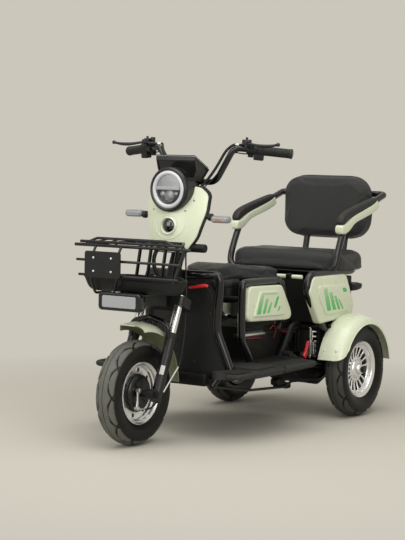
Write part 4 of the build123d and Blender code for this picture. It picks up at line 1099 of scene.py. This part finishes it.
mesh = bmesh.new()
limb(
    mesh,
    [
        (34, -24, 196, 6, 4), (36, -25, 193, 10, 4.5), (37, -27, 180, 6.5, 4),
        (38, -30, 160, 5.5, 3.6), (39, -33, 142, 7, 3.8), (39, -34, 134, 9, 4),
        (39, -35, 127, 5, 3.6),
    ],
    up=SIDE,
)
for place, radius in ((at(33, -25, 193), 9), (at(34, -34, 134), 7.5)):
    nut = [(0, 14), (radius * 0.6, 14), (radius * 0.7, 12), (radius, 11), (radius, -3)]
    lathe(mesh, nut, place, SIDE, 24)
rod(mesh, at(41, -40, 131), at(44, -16, 131), 4.2)
rod(mesh, at(44, -18, 131), at(50, 0, 128), 2.6)
finish_piece("brake_arm", mesh, zinc, "steering", 34)

wire(
    "front_brake_sheath", [(49, -3, 128), (54, 6, 126), (66, 22, 136), (76, 36, 156),
    (82, 44, 172), (88, 50, 184)], 3.0, rubber, "steering",
)
core = [(88, 50, 184), (91, 88, 224), (95, 129, 266)]
wire("front_brake_core", core, 2.6, white_bolt, "steering")
wire(
    "front_brake_cable", [(95, 127, 264), (95, 136, 278), (92, 152, 312), (88, 168, 350),
    (82, 188, 440), (76, 198, 520), (66, 206, 600), (56, 218, 680), (44, 250, 760)],
    2.8, rubber, "steering",
)

# ---- Front panel, liner, horn, badge and signals ----

panel_bow = 200


def panel_y(across, up):
    """How far behind the front axle the panel's face lies, in millimetres."""
    rise = up - 756
    bulge = sqrt(panel_bow * panel_bow - across * across)
    return 190 + 0.0941 * rise + 0.0011034 * rise * rise + panel_bow - bulge


def panel_skin(mesh, margin, depth, thickness):
    """A curved sheet behind the panel's face, cut to its outline plus a margin."""
    part = bmesh.new()
    half = [(64, 656), (100, 706), (124, 796), (124, 856), (96, 884)]
    half = [(x + margin, z + (margin if z > 850 else -margin if z < 660 else 0)) for x, z in half]
    part.faces.new([part.verts.new((x, 0, z)) for x, z in both_halves(half)])
    bevelled(part, part.verts[:], 13000, 5, "VERTICES")
    for cut in range(-120, 121, 10):
        split(part, (cut, 0, 0), SIDE)
    for cut in range(670, 881, 15):
        split(part, (0, 0, cut), UP)
    for vert in part.verts:
        vert.co = at(vert.co.x, panel_y(vert.co.x, vert.co.z) + depth, vert.co.z)
    bmesh.ops.recalc_face_normals(part, faces=part.faces)
    raised(part, part.faces[:], REAR * (thickness / 1000))
    pour(part, mesh)


mesh = bmesh.new()
panel_skin(mesh, 0, 0, 4)
finish_piece("front_panel_face", mesh, cream, "steering", 50, ("front_panel",))
mesh = bmesh.new()
panel_skin(mesh, 4, 4, 12)
column_foot = at(0, 222.03017, 570)
lathe(
    mesh, [(0, 0), (24, 0), (24, 60), (21, 62), (21, 150), (25, 152), (25, 186), (0, 186)],
    column_foot, up_fork, 32,
)
block(mesh, head_on(0, 246, 800), 120, 130, 60, 16)
lathe(
    mesh, [(0, 72), (7, 72), (8, 70.5), (11, 70.5), (12, 72), (14, 71), (15, 68), (15, 4), (13, 0),
           (0, 0)],
    at(62, 226, 671), SIDE, 36,
)
block(mesh, head_on(56, 228, 676), 20, 34, 26, 4)
finish_piece("panel_liner", mesh, matte_plastic, "steering", 34, ("panel_backing",))

mesh = bmesh.new()
for across, up in ((-80, 801), (60, 800), (84, 836), (-96, 838)):
    lathe(
        mesh, [(0, 0.4), (1.6, 0.4), (1.8, 1.2), (3.2, 1.0), (3.6, 0.2), (3.6, -1)],
        at(across, panel_y(across, up), up), FRONT + SIDE * (across / 200), 18,
    )
finish_piece("panel_screws", mesh, signal_rim, "steering")
ridge = []
for angle in range(150, 351, 20):
    across, up = 66 * cos(radians(angle)), 762 + 62 * sin(radians(angle))
    ridge.append(at(across, panel_y(across, up), up))
wire("panel_crescent", ridge, 1.5, cream, "steering")

turned_piece(
    "badge_cap",
    [(0, 2.5), (7, 2), (14, 0.2), (19, -2.4), (22.6, -5.4), (24.4, -8), (24.6, -12)],
    badge_centre, FRONT, 72, dark_chrome, "steering", replaces=("badge_dome",),
)

signal_places = ((184, 774), (-184, 783))
signal_front = 243
mesh = bmesh.new()
for across, up in signal_places:
    slab(mesh, head_on(across, signal_front + 11, up), box_corners(72, 25), 23, 12, 5)
finish_piece("signal_rims", mesh, signal_rim, "steering", replaces=("turn_signals",))
mesh = bmesh.new()
rod(mesh, at(100, 252, 780), at(146, 245, 780), 8.5)
collar = [(8.5, -10), (12, -9), (13, -4), (13, 4), (10, 6), (8.4, 8)]
lathe(mesh, collar, at(142, 245.5, 780), SIDE, 32)
mirror_across(mesh)
finish_piece("signal_stalks", mesh, rubber, "steering")
mesh = bmesh.new()
for across, up in signal_places:
    slab(mesh, head_on(across, signal_front - 11.6, up), box_corners(60, 14), 2.6, 7, 1.8)
finish_piece("signal_lenses", mesh, pale_lens, "steering")
mesh = bmesh.new()
slab(mesh, head_on(182, signal_front - 13.6, 773), box_corners(26, 7), 1.2, 3.5, 0.6)
finish_piece("signal_amber", mesh, amber, "steering")

# ---- Front fender, fork tubes and front rim; the four named sizes are in metres ----

fender_sheet = 0.0034
fender_half_width = 0.052
fender_crown = 0.240
hole_ring = 0.0785

mesh = bmesh.new()
half = [(52, 211), (51, 217), (48.5, 223), (44, 229), (37.5, 234), (29, 238.2), (19, 241),
        (9, 242.6)]
section = half + [(0, 243)] + mirrored(reversed(half))
places = [front_hub + Vector((x / 1000, 0, r / 1000)) for x, r in section]
swept(mesh, places, front_hub, SIDE, radians(-100), 50)
for vert in mesh.verts:
    offset = vert.co - front_hub
    turn = atan2(offset.y, offset.z)
    share = held(turn / radians(100))
    side = offset.x / fender_half_width
    start = radians(-12.5 + 8.5 * side * side)
    angle = start + share * (radians(87) - start)
    radius = hypot(offset.y, offset.z)
    narrow = held((degrees(angle) - 40) / 18)
    narrow = narrow * narrow * (3 - 2 * narrow)
    radius += narrow * (fender_crown - radius) * 0.72 * abs(side)
    offset = Vector((offset.x * (1 - 0.48 * narrow), radius * sin(angle), radius * cos(angle)))
    vert.co = front_hub + offset
bmesh.ops.recalc_face_normals(mesh, faces=mesh.faces)
crown_place = front_hub + UP * fender_crown
middle = min(mesh.faces, key=lambda face: (face.calc_center_median() - crown_place).length)
if middle.normal.z < 0:
    bmesh.ops.reverse_faces(mesh, faces=mesh.faces)
bmesh.ops.solidify(mesh, geom=mesh.faces[:], thickness=fender_sheet)
shell = finish_piece("front_fender_shell", mesh, cream, "steering", 50, ("front_fender",))
paint_fender_inner_shade(shell, front_hub)

mesh = bmesh.new()
for side in (-fork_leg, fork_leg):
    lathe(
        mesh, [(0, 0), (14.5, 0), (14.5, 150), (0, 150)], on_fork(side, 190), up_fork, 48
    )
finish_piece("fork_stanchions", mesh, satin_chrome, "steering", replaces=("fork_tubes",))

mesh = bmesh.new()
rim_lip = [(92, 15), (95, 17.5), (97.5, 19), (98.4, 24), (99.6, 27.6), (102.6, 29.6),
           (104.2, 31.5), (106, 32.6), (108, 31.6), (108.4, 29), (107, 27), (97, 26.8)]
dish = [(66, 6.5), (70, 6.0), (86, 5.6), (90, 7), (91.5, 10)]
dish += rim_lip + [(radius, -along) for radius, along in reversed(rim_lip)]
dish += [(91.5, -8), (90, -4), (86, -2.6), (66, -2), dish[0]]
lathe(mesh, dish, front_hub, SIDE, 128)
hole_places = [
    front_hub + radial(45 * turn + 10) * hole_ring + SIDE * 0.0062 for turn in range(8)
]
for place in hole_places:
    lathe(mesh, [(8.6, -0.6), (8.6, 0.4), (7.6, 0.9), (6.6, 0.2)], place, SIDE, 20)
finish_piece("front_rim_dish", mesh, bright_alloy, "front_wheel", 34)
mesh = bmesh.new()
# Dark discs fill the rim's holes: painted shade in the openings. The valve below is real.
for place in hole_places:
    lathe(mesh, [(0, 0.5), (7, 0.5), (7, -1)], place, SIDE, 20)
valve = radial(-62)
valve_foot = front_hub + valve * 0.093 + SIDE * 0.004
rod(mesh, valve_foot, front_hub + valve * 0.070 + SIDE * 0.014, 3.4, 2.8)
finish_piece("front_rim_holes", mesh, rubber, "front_wheel", 34)
turned_piece(
    "front_drum",
    [(7.2, -24), (60, -24), (64, -21), (66, -16), (66, 15), (64.8, 16.6), (7.2, 16.6), (7.2, -24)],
    front_hub, SIDE, 96, drum_paint, "front_wheel", 34, ("front_rim",),
)
mesh = bmesh.new()
lathe(
    mesh,
    [(12.2, 31), (20, 30.4), (22, 27), (40, 27.5), (44, 29.2), (56, 28.6), (60, 26), (63.5, 22),
     (64, 18), (7.4, 18)],
    front_hub, SIDE, 96,
)
for turn in range(6):
    out = radial(60 * turn + 20)
    limb(
        mesh,
        [(front_hub + out * 0.022 + SIDE * 0.0275, 3, 1.6),
         (front_hub + out * 0.042 + SIDE * 0.029, 2.4, 1.4)],
        up=SIDE,
    )
finish_piece("brake_plate_cover", mesh, drum_paint, "steering", 34, ("brake_plate",))

# ---- Basket: thicker wires with their welds run together, and the tray ----

wire_growth = 0.0008
for node in ("basket", "basket_sides", "basket_back"):
    mesh = bmesh.new()
    mesh.from_mesh(nodes[node].data)
    bmesh.ops.transform(mesh, matrix=nodes[node].matrix_world, verts=mesh.verts)
    bmesh.ops.remove_doubles(mesh, verts=mesh.verts, dist=0.00002)
    bmesh.ops.recalc_face_normals(mesh, faces=mesh.faces)
    mesh.normal_update()
    moves = [(vert, vert.normal * wire_growth) for vert in mesh.verts]
    for vert, move in moves:
        vert.co += move
    finish_piece(node + "_wires", mesh, frame_paint, "steering", 50, (node,))

pan_plan = rounded([(-206, -30), (206, -30), (214, 6), (112, 112), (-112, 112), (-214, 6)], 30)
pan_rings = ((0.70, 523), (0.78, 523.6), (0.85, 527), (0.90, 534), (0.935, 545), (0.965, 560),
             (0.985, 569), (1.0, 570), (1.0, 575), (0.985, 576), (0.955, 574.5), (0.945, 562),
             (0.915, 542), (0.87, 534), (0.78, 532))
mesh = bmesh.new()
stacked(mesh, pan_plan, 34, pan_rings)
finish_piece("basket_tray", mesh, matte_plastic, "steering", 40, ("basket_pan",))

# ---- Leg shield trim and hook ----

shield_bow = 620


def on_shield(across, up):
    """A place on the leg shield's bowed face, and which way it faces there."""
    share = across / shield_bow
    out = Vector((share, -sqrt(1 - share**2), 0))
    return at(0, 272 + shield_bow, up) + out * (shield_bow / 1000), out


def along_shield(half):
    return [on_shield(across, up)[0] for across, up in half]


border = [(1, 547), (40, 547), (80, 542), (110, 528), (129, 500), (132, 460), (126, 400),
          (134, 352), (158, 300), (174, 246)]
border = along_shield(mirrored(reversed(border)) + border)
# The border is a real raised bead; its lighter black is a painted highlight along it.
wire("shield_border", border, 1.6, board_plastic, "chassis")
hoop = [(202, 222), (176, 300), (149, 366), (145, 402), (150, 480), (155, 536), (149, 575),
        (112, 575), (50, 575)]
wire(
    "shield_hoop", along_shield(both_halves(hoop)), 15.5, gloss_tube, "chassis",
    ("leg_shield_tube",),
)
mesh = bmesh.new()
rivets = [(120, 440), (122, 330), (60, 268), (70, 556)]
for across, up in rivets + mirrored(rivets):
    place, out = on_shield(across, up)
    bolt(mesh, place, out, 4.6, 2.2)
finish_piece("shield_rivets", mesh, board_plastic, "chassis")
mesh = bmesh.new()
limb(
    mesh,
    [(38, 272, 527, 5, 5), (44, 262, 528, 4.5, 4.5), (58, 254, 530, 4.5, 5),
     (78, 250, 533, 5, 5.5), (98, 250, 537, 5.5, 6.5), (114, 252, 540, 5.5, 7),
     (124, 254, 539, 4.5, 6), (129, 255, 537, 2.5, 3.5)],
)
soften(finish_piece("shield_hook", mesh, red_plastic, "chassis"))
mesh = bmesh.new()
place, out = on_shield(38, 524)
lathe(mesh, [(0, 4), (10, 4), (12, 3), (13, 1), (13, -1)], place, out, 28)
finish_piece("hook_seat", mesh, matte_plastic, "chassis")

# ---- Side covers and their print ----

mesh = bmesh.new()
for foot, corners, thick, bend, edge in (
    (174, [(414, 404), (424, 530), (652, 524), (745, 389)], 18, 32, 6),
    (214, [(763, 492), (790, 548), (1044, 547), (1110, 426), (1094, 380), (848, 366)], 29, 30, 9),
):
    slab(mesh, side_on(foot), rounded(corners, bend), thick, 0, edge)
mirror_across(mesh)
finish_piece("side_covers", mesh, cream, "chassis", 60, ("saddle_covers", "bench_covers"))
saddle_face = side_on(191.6)
bench_face = side_on(242.6)
mesh = bmesh.new()
slab(mesh, saddle_face, [(452, 418), (664, 412), (620, 506), (496, 509)], 5.6, 9, 4)
bench_field = [(826, 512), (1056, 508), (1078, 440), (1064, 404), (884, 398), (828, 470)]
slab(mesh, bench_face, bench_field, 5.6, 12, 4)
mirror_across(mesh)
finish_piece("cover_fields", mesh, cream, "chassis", 60)
ink_lift = Matrix.Translation((0, 0, 0.0055))


def stripe(start, width, lean, low, high):
    """The corners of one leaning bar of the print."""
    return [(start, low), (start + width, low), (start + width + lean, high), (start + lean, high)]


saddle_print = [(stripe(470, 26, 22, 427, 494), 3), (stripe(508, 20, 22, 427, 480), 3),
                (stripe(540, 14, 22, 427, 466), 3),
                ([(492, 497), (612, 491), (608, 499), (500, 503)], 2)]
bench_print = [(stripe(890, 30, -34, 414, 500), 3), (stripe(934, 24, -34, 414, 484), 3),
               (stripe(972, 18, -34, 414, 468), 3), (stripe(1004, 12, -34, 414, 452), 3)]
saddle_solid = [(stripe(584, 16, 22, 444, 484), 6), (stripe(612, 10, 10, 430, 448), 4)]
bench_solid = [(stripe(1012, 28, -10, 478, 494), 4)]
for name, ink, fields in (
    ("cover_print", green_dots, ((saddle_face, saddle_print), (bench_face, bench_print))),
    ("cover_solid_print", green_ink, ((saddle_face, saddle_solid), (bench_face, bench_solid))),
):
    mesh = bmesh.new()
    for face, bars in fields:
        for corners, bend in bars:
            slab(mesh, face @ ink_lift, corners, 0.35, bend)
    mirror_across(mesh)
    finish_piece(name, mesh, ink, "chassis", 60)

# ---- Brake strut, power leads and parking lever ----

strut_foot, strut_head = at(112, 462, 343), at(112, 941, 337)
strut_run = strut_head - strut_foot
turned_piece(
    "brake_strut", [(0, 40), (9, 40), (11.8, 42), (11.8, 184), (10, 190), (6, 193), (0, 193)],
    strut_foot, strut_run, 32, zinc, "chassis", 34,
)
mesh = bmesh.new()
eye = [(0, 0), (7, 0), (9, 2), (9, 14), (7, 16), (7, 40), (0, 40)]
lathe(mesh, eye, strut_foot, strut_run, 32)
lathe(mesh, [(0, 193), (4.6, 193), (4.6, 470), (0, 470)], strut_foot, strut_run, 24)
finish_piece("brake_strut_rod", mesh, steel, "chassis", 34)
for index, route in enumerate((
    [(118, 690, 350), (120, 700, 362), (120, 716, 364), (120, 728, 352), (118, 730, 334),
     (112, 726, 318)],
    [(112, 520, 332), (116, 560, 326), (116, 600, 328), (112, 640, 322)],
    [(114, 780, 336), (118, 810, 330), (118, 846, 333), (114, 880, 326)],
)):
    wire(f"power_lead_{index}", route, 2.4, dark_red, "chassis")

mesh = bmesh.new()
lever_face = side_on(200)
slab(mesh, lever_face, [(842, 236), (852, 234), (850, 350), (840, 352)], 5, 3, 1)
slab(mesh, lever_face, [(850, 306), (876, 300), (884, 262), (872, 240), (852, 238)], 3, 4, 0.8)
slab(mesh, lever_face @ Matrix.Translation((0, 0, 0.006)),
     [(856, 296), (868, 294), (874, 252), (862, 248)], 4, 3, 1)
for place in ((846, 246), (846, 300), (868, 262), (880, 282)):
    bolt(mesh, at(204, *place), SIDE, 5, 3.4)
finish_piece("parking_lever", mesh, zinc, "chassis", 34)
mesh = bmesh.new()
limb(
    mesh,
    [(196, 806, 244, 6, 6), (197, 814, 252, 6.5, 7), (198, 822, 268, 7, 7), (198, 832, 288, 6, 7),
     (198, 838, 302, 5, 5)],
    up=SIDE,
)
slab(mesh, lever_face @ Matrix.Translation((0, 0, -0.004)),
     [(806, 240), (822, 236), (836, 292), (822, 300)], 6, 4, 1.6)
soften(finish_piece("parking_pawl", mesh, red_plastic, "chassis"))

# ---- Saddle hoops, inner parts, tail of the box, board trim ----

hoop_side = [(172, 470, 246), (172, 462, 268), (172, 432, 305), (172, 409, 338), (172, 407, 400),
             (172, 407, 480), (172, 408, 520), (172, 412, 541), (172, 440, 543), (172, 520, 542),
             (172, 620, 541), (172, 652, 540), (172, 672, 530), (170, 690, 502), (158, 724, 438),
             (140, 736, 396), (122, 738, 372), (120, 738, 352)]
wire("saddle_hoop_left", hoop_side, 14, gloss_tube, "chassis", ("saddle_frame",))
wire("saddle_hoop_right", mirrored(hoop_side), 14, gloss_tube, "chassis")
mesh = bmesh.new()
for along in (412, 699):
    rod(mesh, at(-172, along, 484), at(172, along, 484), 10)
for side in (-70, 70):
    rod(mesh, at(side, 412, 484), at(side, 699, 484), 8)
finish_piece("saddle_rails", mesh, inner_black, "chassis")

mesh = bmesh.new()
block(mesh, head_on(0, 955, 300), 240, 112, 104, 6)
for fin in range(11):
    block(mesh, head_on(-110 + 22 * fin, 898, 300), 5, 100, 14, 1.5)
block(mesh, head_on(0, 420, 206), 250, 46, 340, 12)
arm_plate = [(766, 262), (862, 214), (1000, 206), (1053, 214), (1053, 142), (985, 116), (905, 130),
             (800, 186)]
guard = [(890, 232), (960, 222), (1046, 258), (1046, 368), (890, 368)]
for side in (1, -1):
    slab(mesh, side_on(side * 150), arm_plate, 10, 14, 2)
    slab(mesh, side_on(side * 206), guard, 5, 12, 1.5)
hanger = [(684, 232), (716, 232), (716, 150), (776, 142), (776, 122), (684, 136)]
slab(mesh, side_on(140), hanger, 6, 8, 1)
block(mesh, head_on(152, 700, 158), 34, 26, 60, 7)
block(mesh, head_on(150, 762, 136), 26, 22, 34, 6)
finish_piece("inner_parts", mesh, inner_black, "chassis", 34)

mesh = bmesh.new()
tail = [(1150, 470), (1196, 470), (1232, 476), (1240, 486), (1236, 497), (1214, 501), (1186, 498),
        (1150, 498)]
tail_plan = rounded(tail, 6, 3)
tail_rings = ((-214, 0.5), (-208, 0.9), (-196, 1), (196, 1), (208, 0.9), (214, 0.5))
loft(mesh, [
    [at(x, 1190 + (p.x - 1190) * s, 485 + (p.y - 485) * s) for p in tail_plan]
    for x, s in tail_rings
])
finish_piece("box_tail", mesh, matte_plastic, "chassis", 50)

nose = [(262, 186, 237), (288, 187, 237.5), (303, 192, 238.5), (306, 212, 239), (306, 280, 239),
        (306, 480, 239), (306, 680, 239), (305, 700, 239)]
wire("board_nosing_left", nose, 10, board_plastic, "chassis")
wire("board_nosing_right", mirrored(nose), 10, board_plastic, "chassis")
mesh = bmesh.new()
slab(mesh, facing(at(277, 480, 226), SIDE, REAR), box_corners(80, 3), 25.6, 1, 0.6)
for rib in range(9):
    for along, length in ((590, 190), (330, 270)):
        rib_face = facing(at(228 + 8 * rib, along, 250), SIDE, REAR)
        slab(mesh, rib_face, box_corners(3.4, length), 1.4, 1.5, 0.6)
mirror_across(mesh)
finish_piece("board_ribs", mesh, board_plastic, "chassis", 40)
mesh = bmesh.new()
for side in (1, -1):
    rod(mesh, at(side * 96, 768, 546), at(side * 206, 768, 546), 7.5)
finish_piece("bench_front_rod", mesh, cream, "chassis")
mesh = bmesh.new()
for across in (-152, 152):
    block(mesh, head_on(across, 768, 546), 24, 22, 22, 4)
finish_piece("bench_rod_clamps", mesh, inner_black, "chassis")

# ---- Rear fenders ----

rear_hub = hub_of("rear_rim_left")
fender_section = [(232, 206), (240, 210), (254, 212.4), (272, 213), (290, 212.2), (304, 209.8),
                  (316, 205.6), (326, 199.4), (333, 192), (337.4, 184.5), (339.6, 178)]
lengths = [0.0]
for (x0, r0), (x1, r1) in zip(fender_section, fender_section[1:]):
    lengths.append(lengths[-1] + hypot(x1 - x0, r1 - r0))
fender_steps = 72
mesh = bmesh.new()
rows = []
for (x, radius), run in zip(fender_section, lengths):
    near_edge = held((run - lengths[-1] + 54) / 54)
    start = -76 + 15 * (1 - sqrt(1 - near_edge**2))
    end = 84 - 5 * (1 - sqrt(1 - near_edge**2))
    row = []
    for step in range(fender_steps + 1):
        angle = start + (end - start) * step / fender_steps
        bead = max(0.0, 1 - ((angle - start - 5) / 1.8) ** 2)
        reach = (radius + 1.1 * bead * (1 - near_edge)) / 1000
        turn = radians(angle)
        offset = Vector((x / 1000 - rear_hub.x, reach * sin(turn), reach * cos(turn)))
        row.append(mesh.verts.new(rear_hub + offset))
    rows.append(row)
for first, second in zip(rows, rows[1:]):
    for step in range(fender_steps):
        mesh.faces.new((first[step], first[step + 1], second[step + 1], second[step]))
lip_route = [vert.co.copy() for vert in rows[-1][::4]]
bmesh.ops.solidify(mesh, geom=mesh.faces[:], thickness=fender_sheet)
mirror_across(mesh)
shells = finish_piece("rear_fender_shells", mesh, cream, "chassis", 60, ("rear_fenders",))
paint_fender_inner_shade(shells, rear_hub)
wire("fender_lip_left", lip_route, 1.8, cream, "chassis")
lip_route = [Vector(point) for point in mirrored(lip_route)]
wire("fender_lip_right", lip_route, 1.8, cream, "chassis")

# ---- Fender bolts and rear wheels ----

mesh = bmesh.new()
for across in (255, 305):
    for side in (1, -1):
        out = radial(-65.5)
        place = Vector((side * across / 1000, rear_hub.y, rear_hub.z)) + out * 0.2125
        bolt(mesh, place, out, 4.2, 2.4)
finish_piece("fender_bolts", mesh, white_bolt, "chassis")

rim_ring = [(84, 11), (86, 13.6), (89.5, 14.4), (92, 16), (93.6, 20), (94.6, 24.5), (96.6, 27.6),
            (99.5, 29.2), (102, 30.4), (104.4, 33), (107, 33.8), (108.8, 32), (109, 29.5),
            (107.4, 27.6), (97, 26.8), (96.2, 0), (97, -26.8), (107.4, -27.6), (108.8, -30),
            (107, -32.6), (98, -29), (92, -24), (90, -6), (84, 3), (84, 11)]
hub_ring = [(0, 36), (9, 35.4), (16, 33), (20.5, 28.6), (22, 24), (23, 21), (30, 20), (34.5, 17.6),
            (37, 14), (38.4, 11), (45, 10.4), (48.4, 8.6), (49, 4), (49, -8), (0, -8)]
# The drum is real; its black face carried out over the rim's inner barrel to the flange is painted
# shade.
drum_and_shade_ring = [(0, -27), (97, -27), (97.4, -29.5), (100, -31.5), (108, -33.6), (109.6, -31),
             (97, -22), (84, -7), (0, -7)]
spoke_line = ((0.045, 0.003, 4.8, 3.4), (0.056, 0.004, 3.8, 3.2), (0.074, 0.0065, 3.9, 3.0),
              (0.087, 0.0095, 6.0, 3.2))
for side, word in ((1, "left"), (-1, "right")):
    wheel = "rear_wheel_" + word
    rim = "rear_rim_" + word
    hub = hub_of(rim)
    out = SIDE * side
    mesh = bmesh.new()
    lathe(mesh, rim_ring, hub, out, 112)
    lathe(mesh, hub_ring, hub, out, 64)
    for turn in range(18):
        spoke = radial(20 * turn + 4)
        stations = [(hub + spoke * r + out * a, wide, tall) for r, a, wide, tall in spoke_line]
        limb(mesh, stations, 10, out)
    for turn in range(6):
        bolt(mesh, hub + radial(60 * turn) * 0.0415 + out * 0.0104, out, 4.0, 4.0)
    finish_piece("rear_rim_dish_" + word, mesh, bright_alloy, wheel, 34, (rim,))
    turned_piece("rear_drum_and_shade_" + word, drum_and_shade_ring, hub, out, 72, drum_paint, wheel, 34)

# ---- Camera, lights and floor ----

camera_data = bpy.data.cameras.new("camera")
camera_data.lens = 111.1
camera = linked("camera", camera_data)
camera_distance = 6.0156
camera_aim = at(0, 409, 580)
azimuth, elevation, roll = radians(33.82), radians(4.23), radians(0.99)
backward = Vector(
    (sin(azimuth) * cos(elevation), -cos(azimuth) * cos(elevation), sin(elevation))
)
right = Vector((cos(azimuth), sin(azimuth), 0))
upward = backward.cross(right)
turned_right = cos(roll) * right + sin(roll) * upward
turned_up = -sin(roll) * right + cos(roll) * upward
camera_turn = Matrix((turned_right, turned_up, backward)).transposed().to_4x4()
camera.matrix_world = Matrix.Translation(camera_aim + backward * camera_distance) @ camera_turn
scene.camera = camera

for name, where, aim, size, power in (
    ("top_softbox", (0.4, -0.9, 3.6), (0, 0, 0.3), (4.0, 4.0), 108),
    ("left_softbox", (3.2, -2.6, 2.1), (0, 0, 0.4), (2.2, 2.6), 52),
    ("front_softbox", (-1.2, -4.0, 2.0), (0, 0, 0.5), (2.6, 2.6), 46),
):
    data = bpy.data.lights.new(name, "AREA")
    data.shape = "RECTANGLE"
    data.size, data.size_y = size
    data.energy = power
    light = linked(name, data)
    light.location = where
    light.rotation_euler = (Vector(aim) - Vector(where)).to_track_quat("-Z", "Y").to_euler()

backdrop_colour = (0.597, 0.570, 0.497, 1)


def shown(tree):
    """One where the background is looked at, straight or through metal and glass."""
    paths = tree.nodes.new("ShaderNodeLightPath").outputs
    straight = compute(tree, "MAXIMUM", paths["Is Camera Ray"], paths["Is Glossy Ray"])
    return compute(tree, "MAXIMUM", straight, paths["Is Transmission Ray"])


scene.view_settings.view_transform = "Standard"
world = bpy.data.worlds.new("studio")
scene.world = world
world.use_nodes = True
tree = world.node_tree
sky = tree.nodes["Background"]
sky.inputs["Color"].default_value = (0.62, 0.60, 0.55, 1)
sky.inputs["Strength"].default_value = 0.55
wall = add_node(tree, "ShaderNodeBackground", Color=backdrop_colour, Strength=1.0)
seen = mix_shader(tree, shown(tree), sky.outputs["Background"], wall.outputs["Background"])
tree.links.new(seen, tree.nodes["World Output"].inputs["Surface"])


def floor_paint():
    """Pale floor whose colour runs into the background colour away from the machine."""
    colour = (0.56, 0.535, 0.46)
    material, tree, shader, where = surface(
        "floor", "studio_floor_paint", colour, 0.8, specular=0.2
    )
    away = tree.nodes.new("ShaderNodeVectorMath")
    away.operation = "LENGTH"
    tree.links.new(where, away.inputs[0])
    glow = add_node(tree, "ShaderNodeEmission", Color=backdrop_colour, Strength=1.0)
    far = ramp(tree, away.outputs["Value"], 0.75, 2.1, 0, 1)
    fade = compute(tree, "MULTIPLY", far, shown(tree))
    both = mix_shader(tree, fade, shader.outputs["BSDF"], glow.outputs["Emission"])
    tree.links.new(both, tree.nodes["Material Output"].inputs["Surface"])
    return material


floor_mesh = bmesh.new()
bmesh.ops.create_circle(floor_mesh, cap_ends=True, segments=96, radius=6.0)
floor_data = bpy.data.meshes.new("studio_floor")
floor_mesh.to_mesh(floor_data)
floor_mesh.free()
studio_floor = linked("studio_floor", floor_data)
floor_data.materials.append(floor_paint())
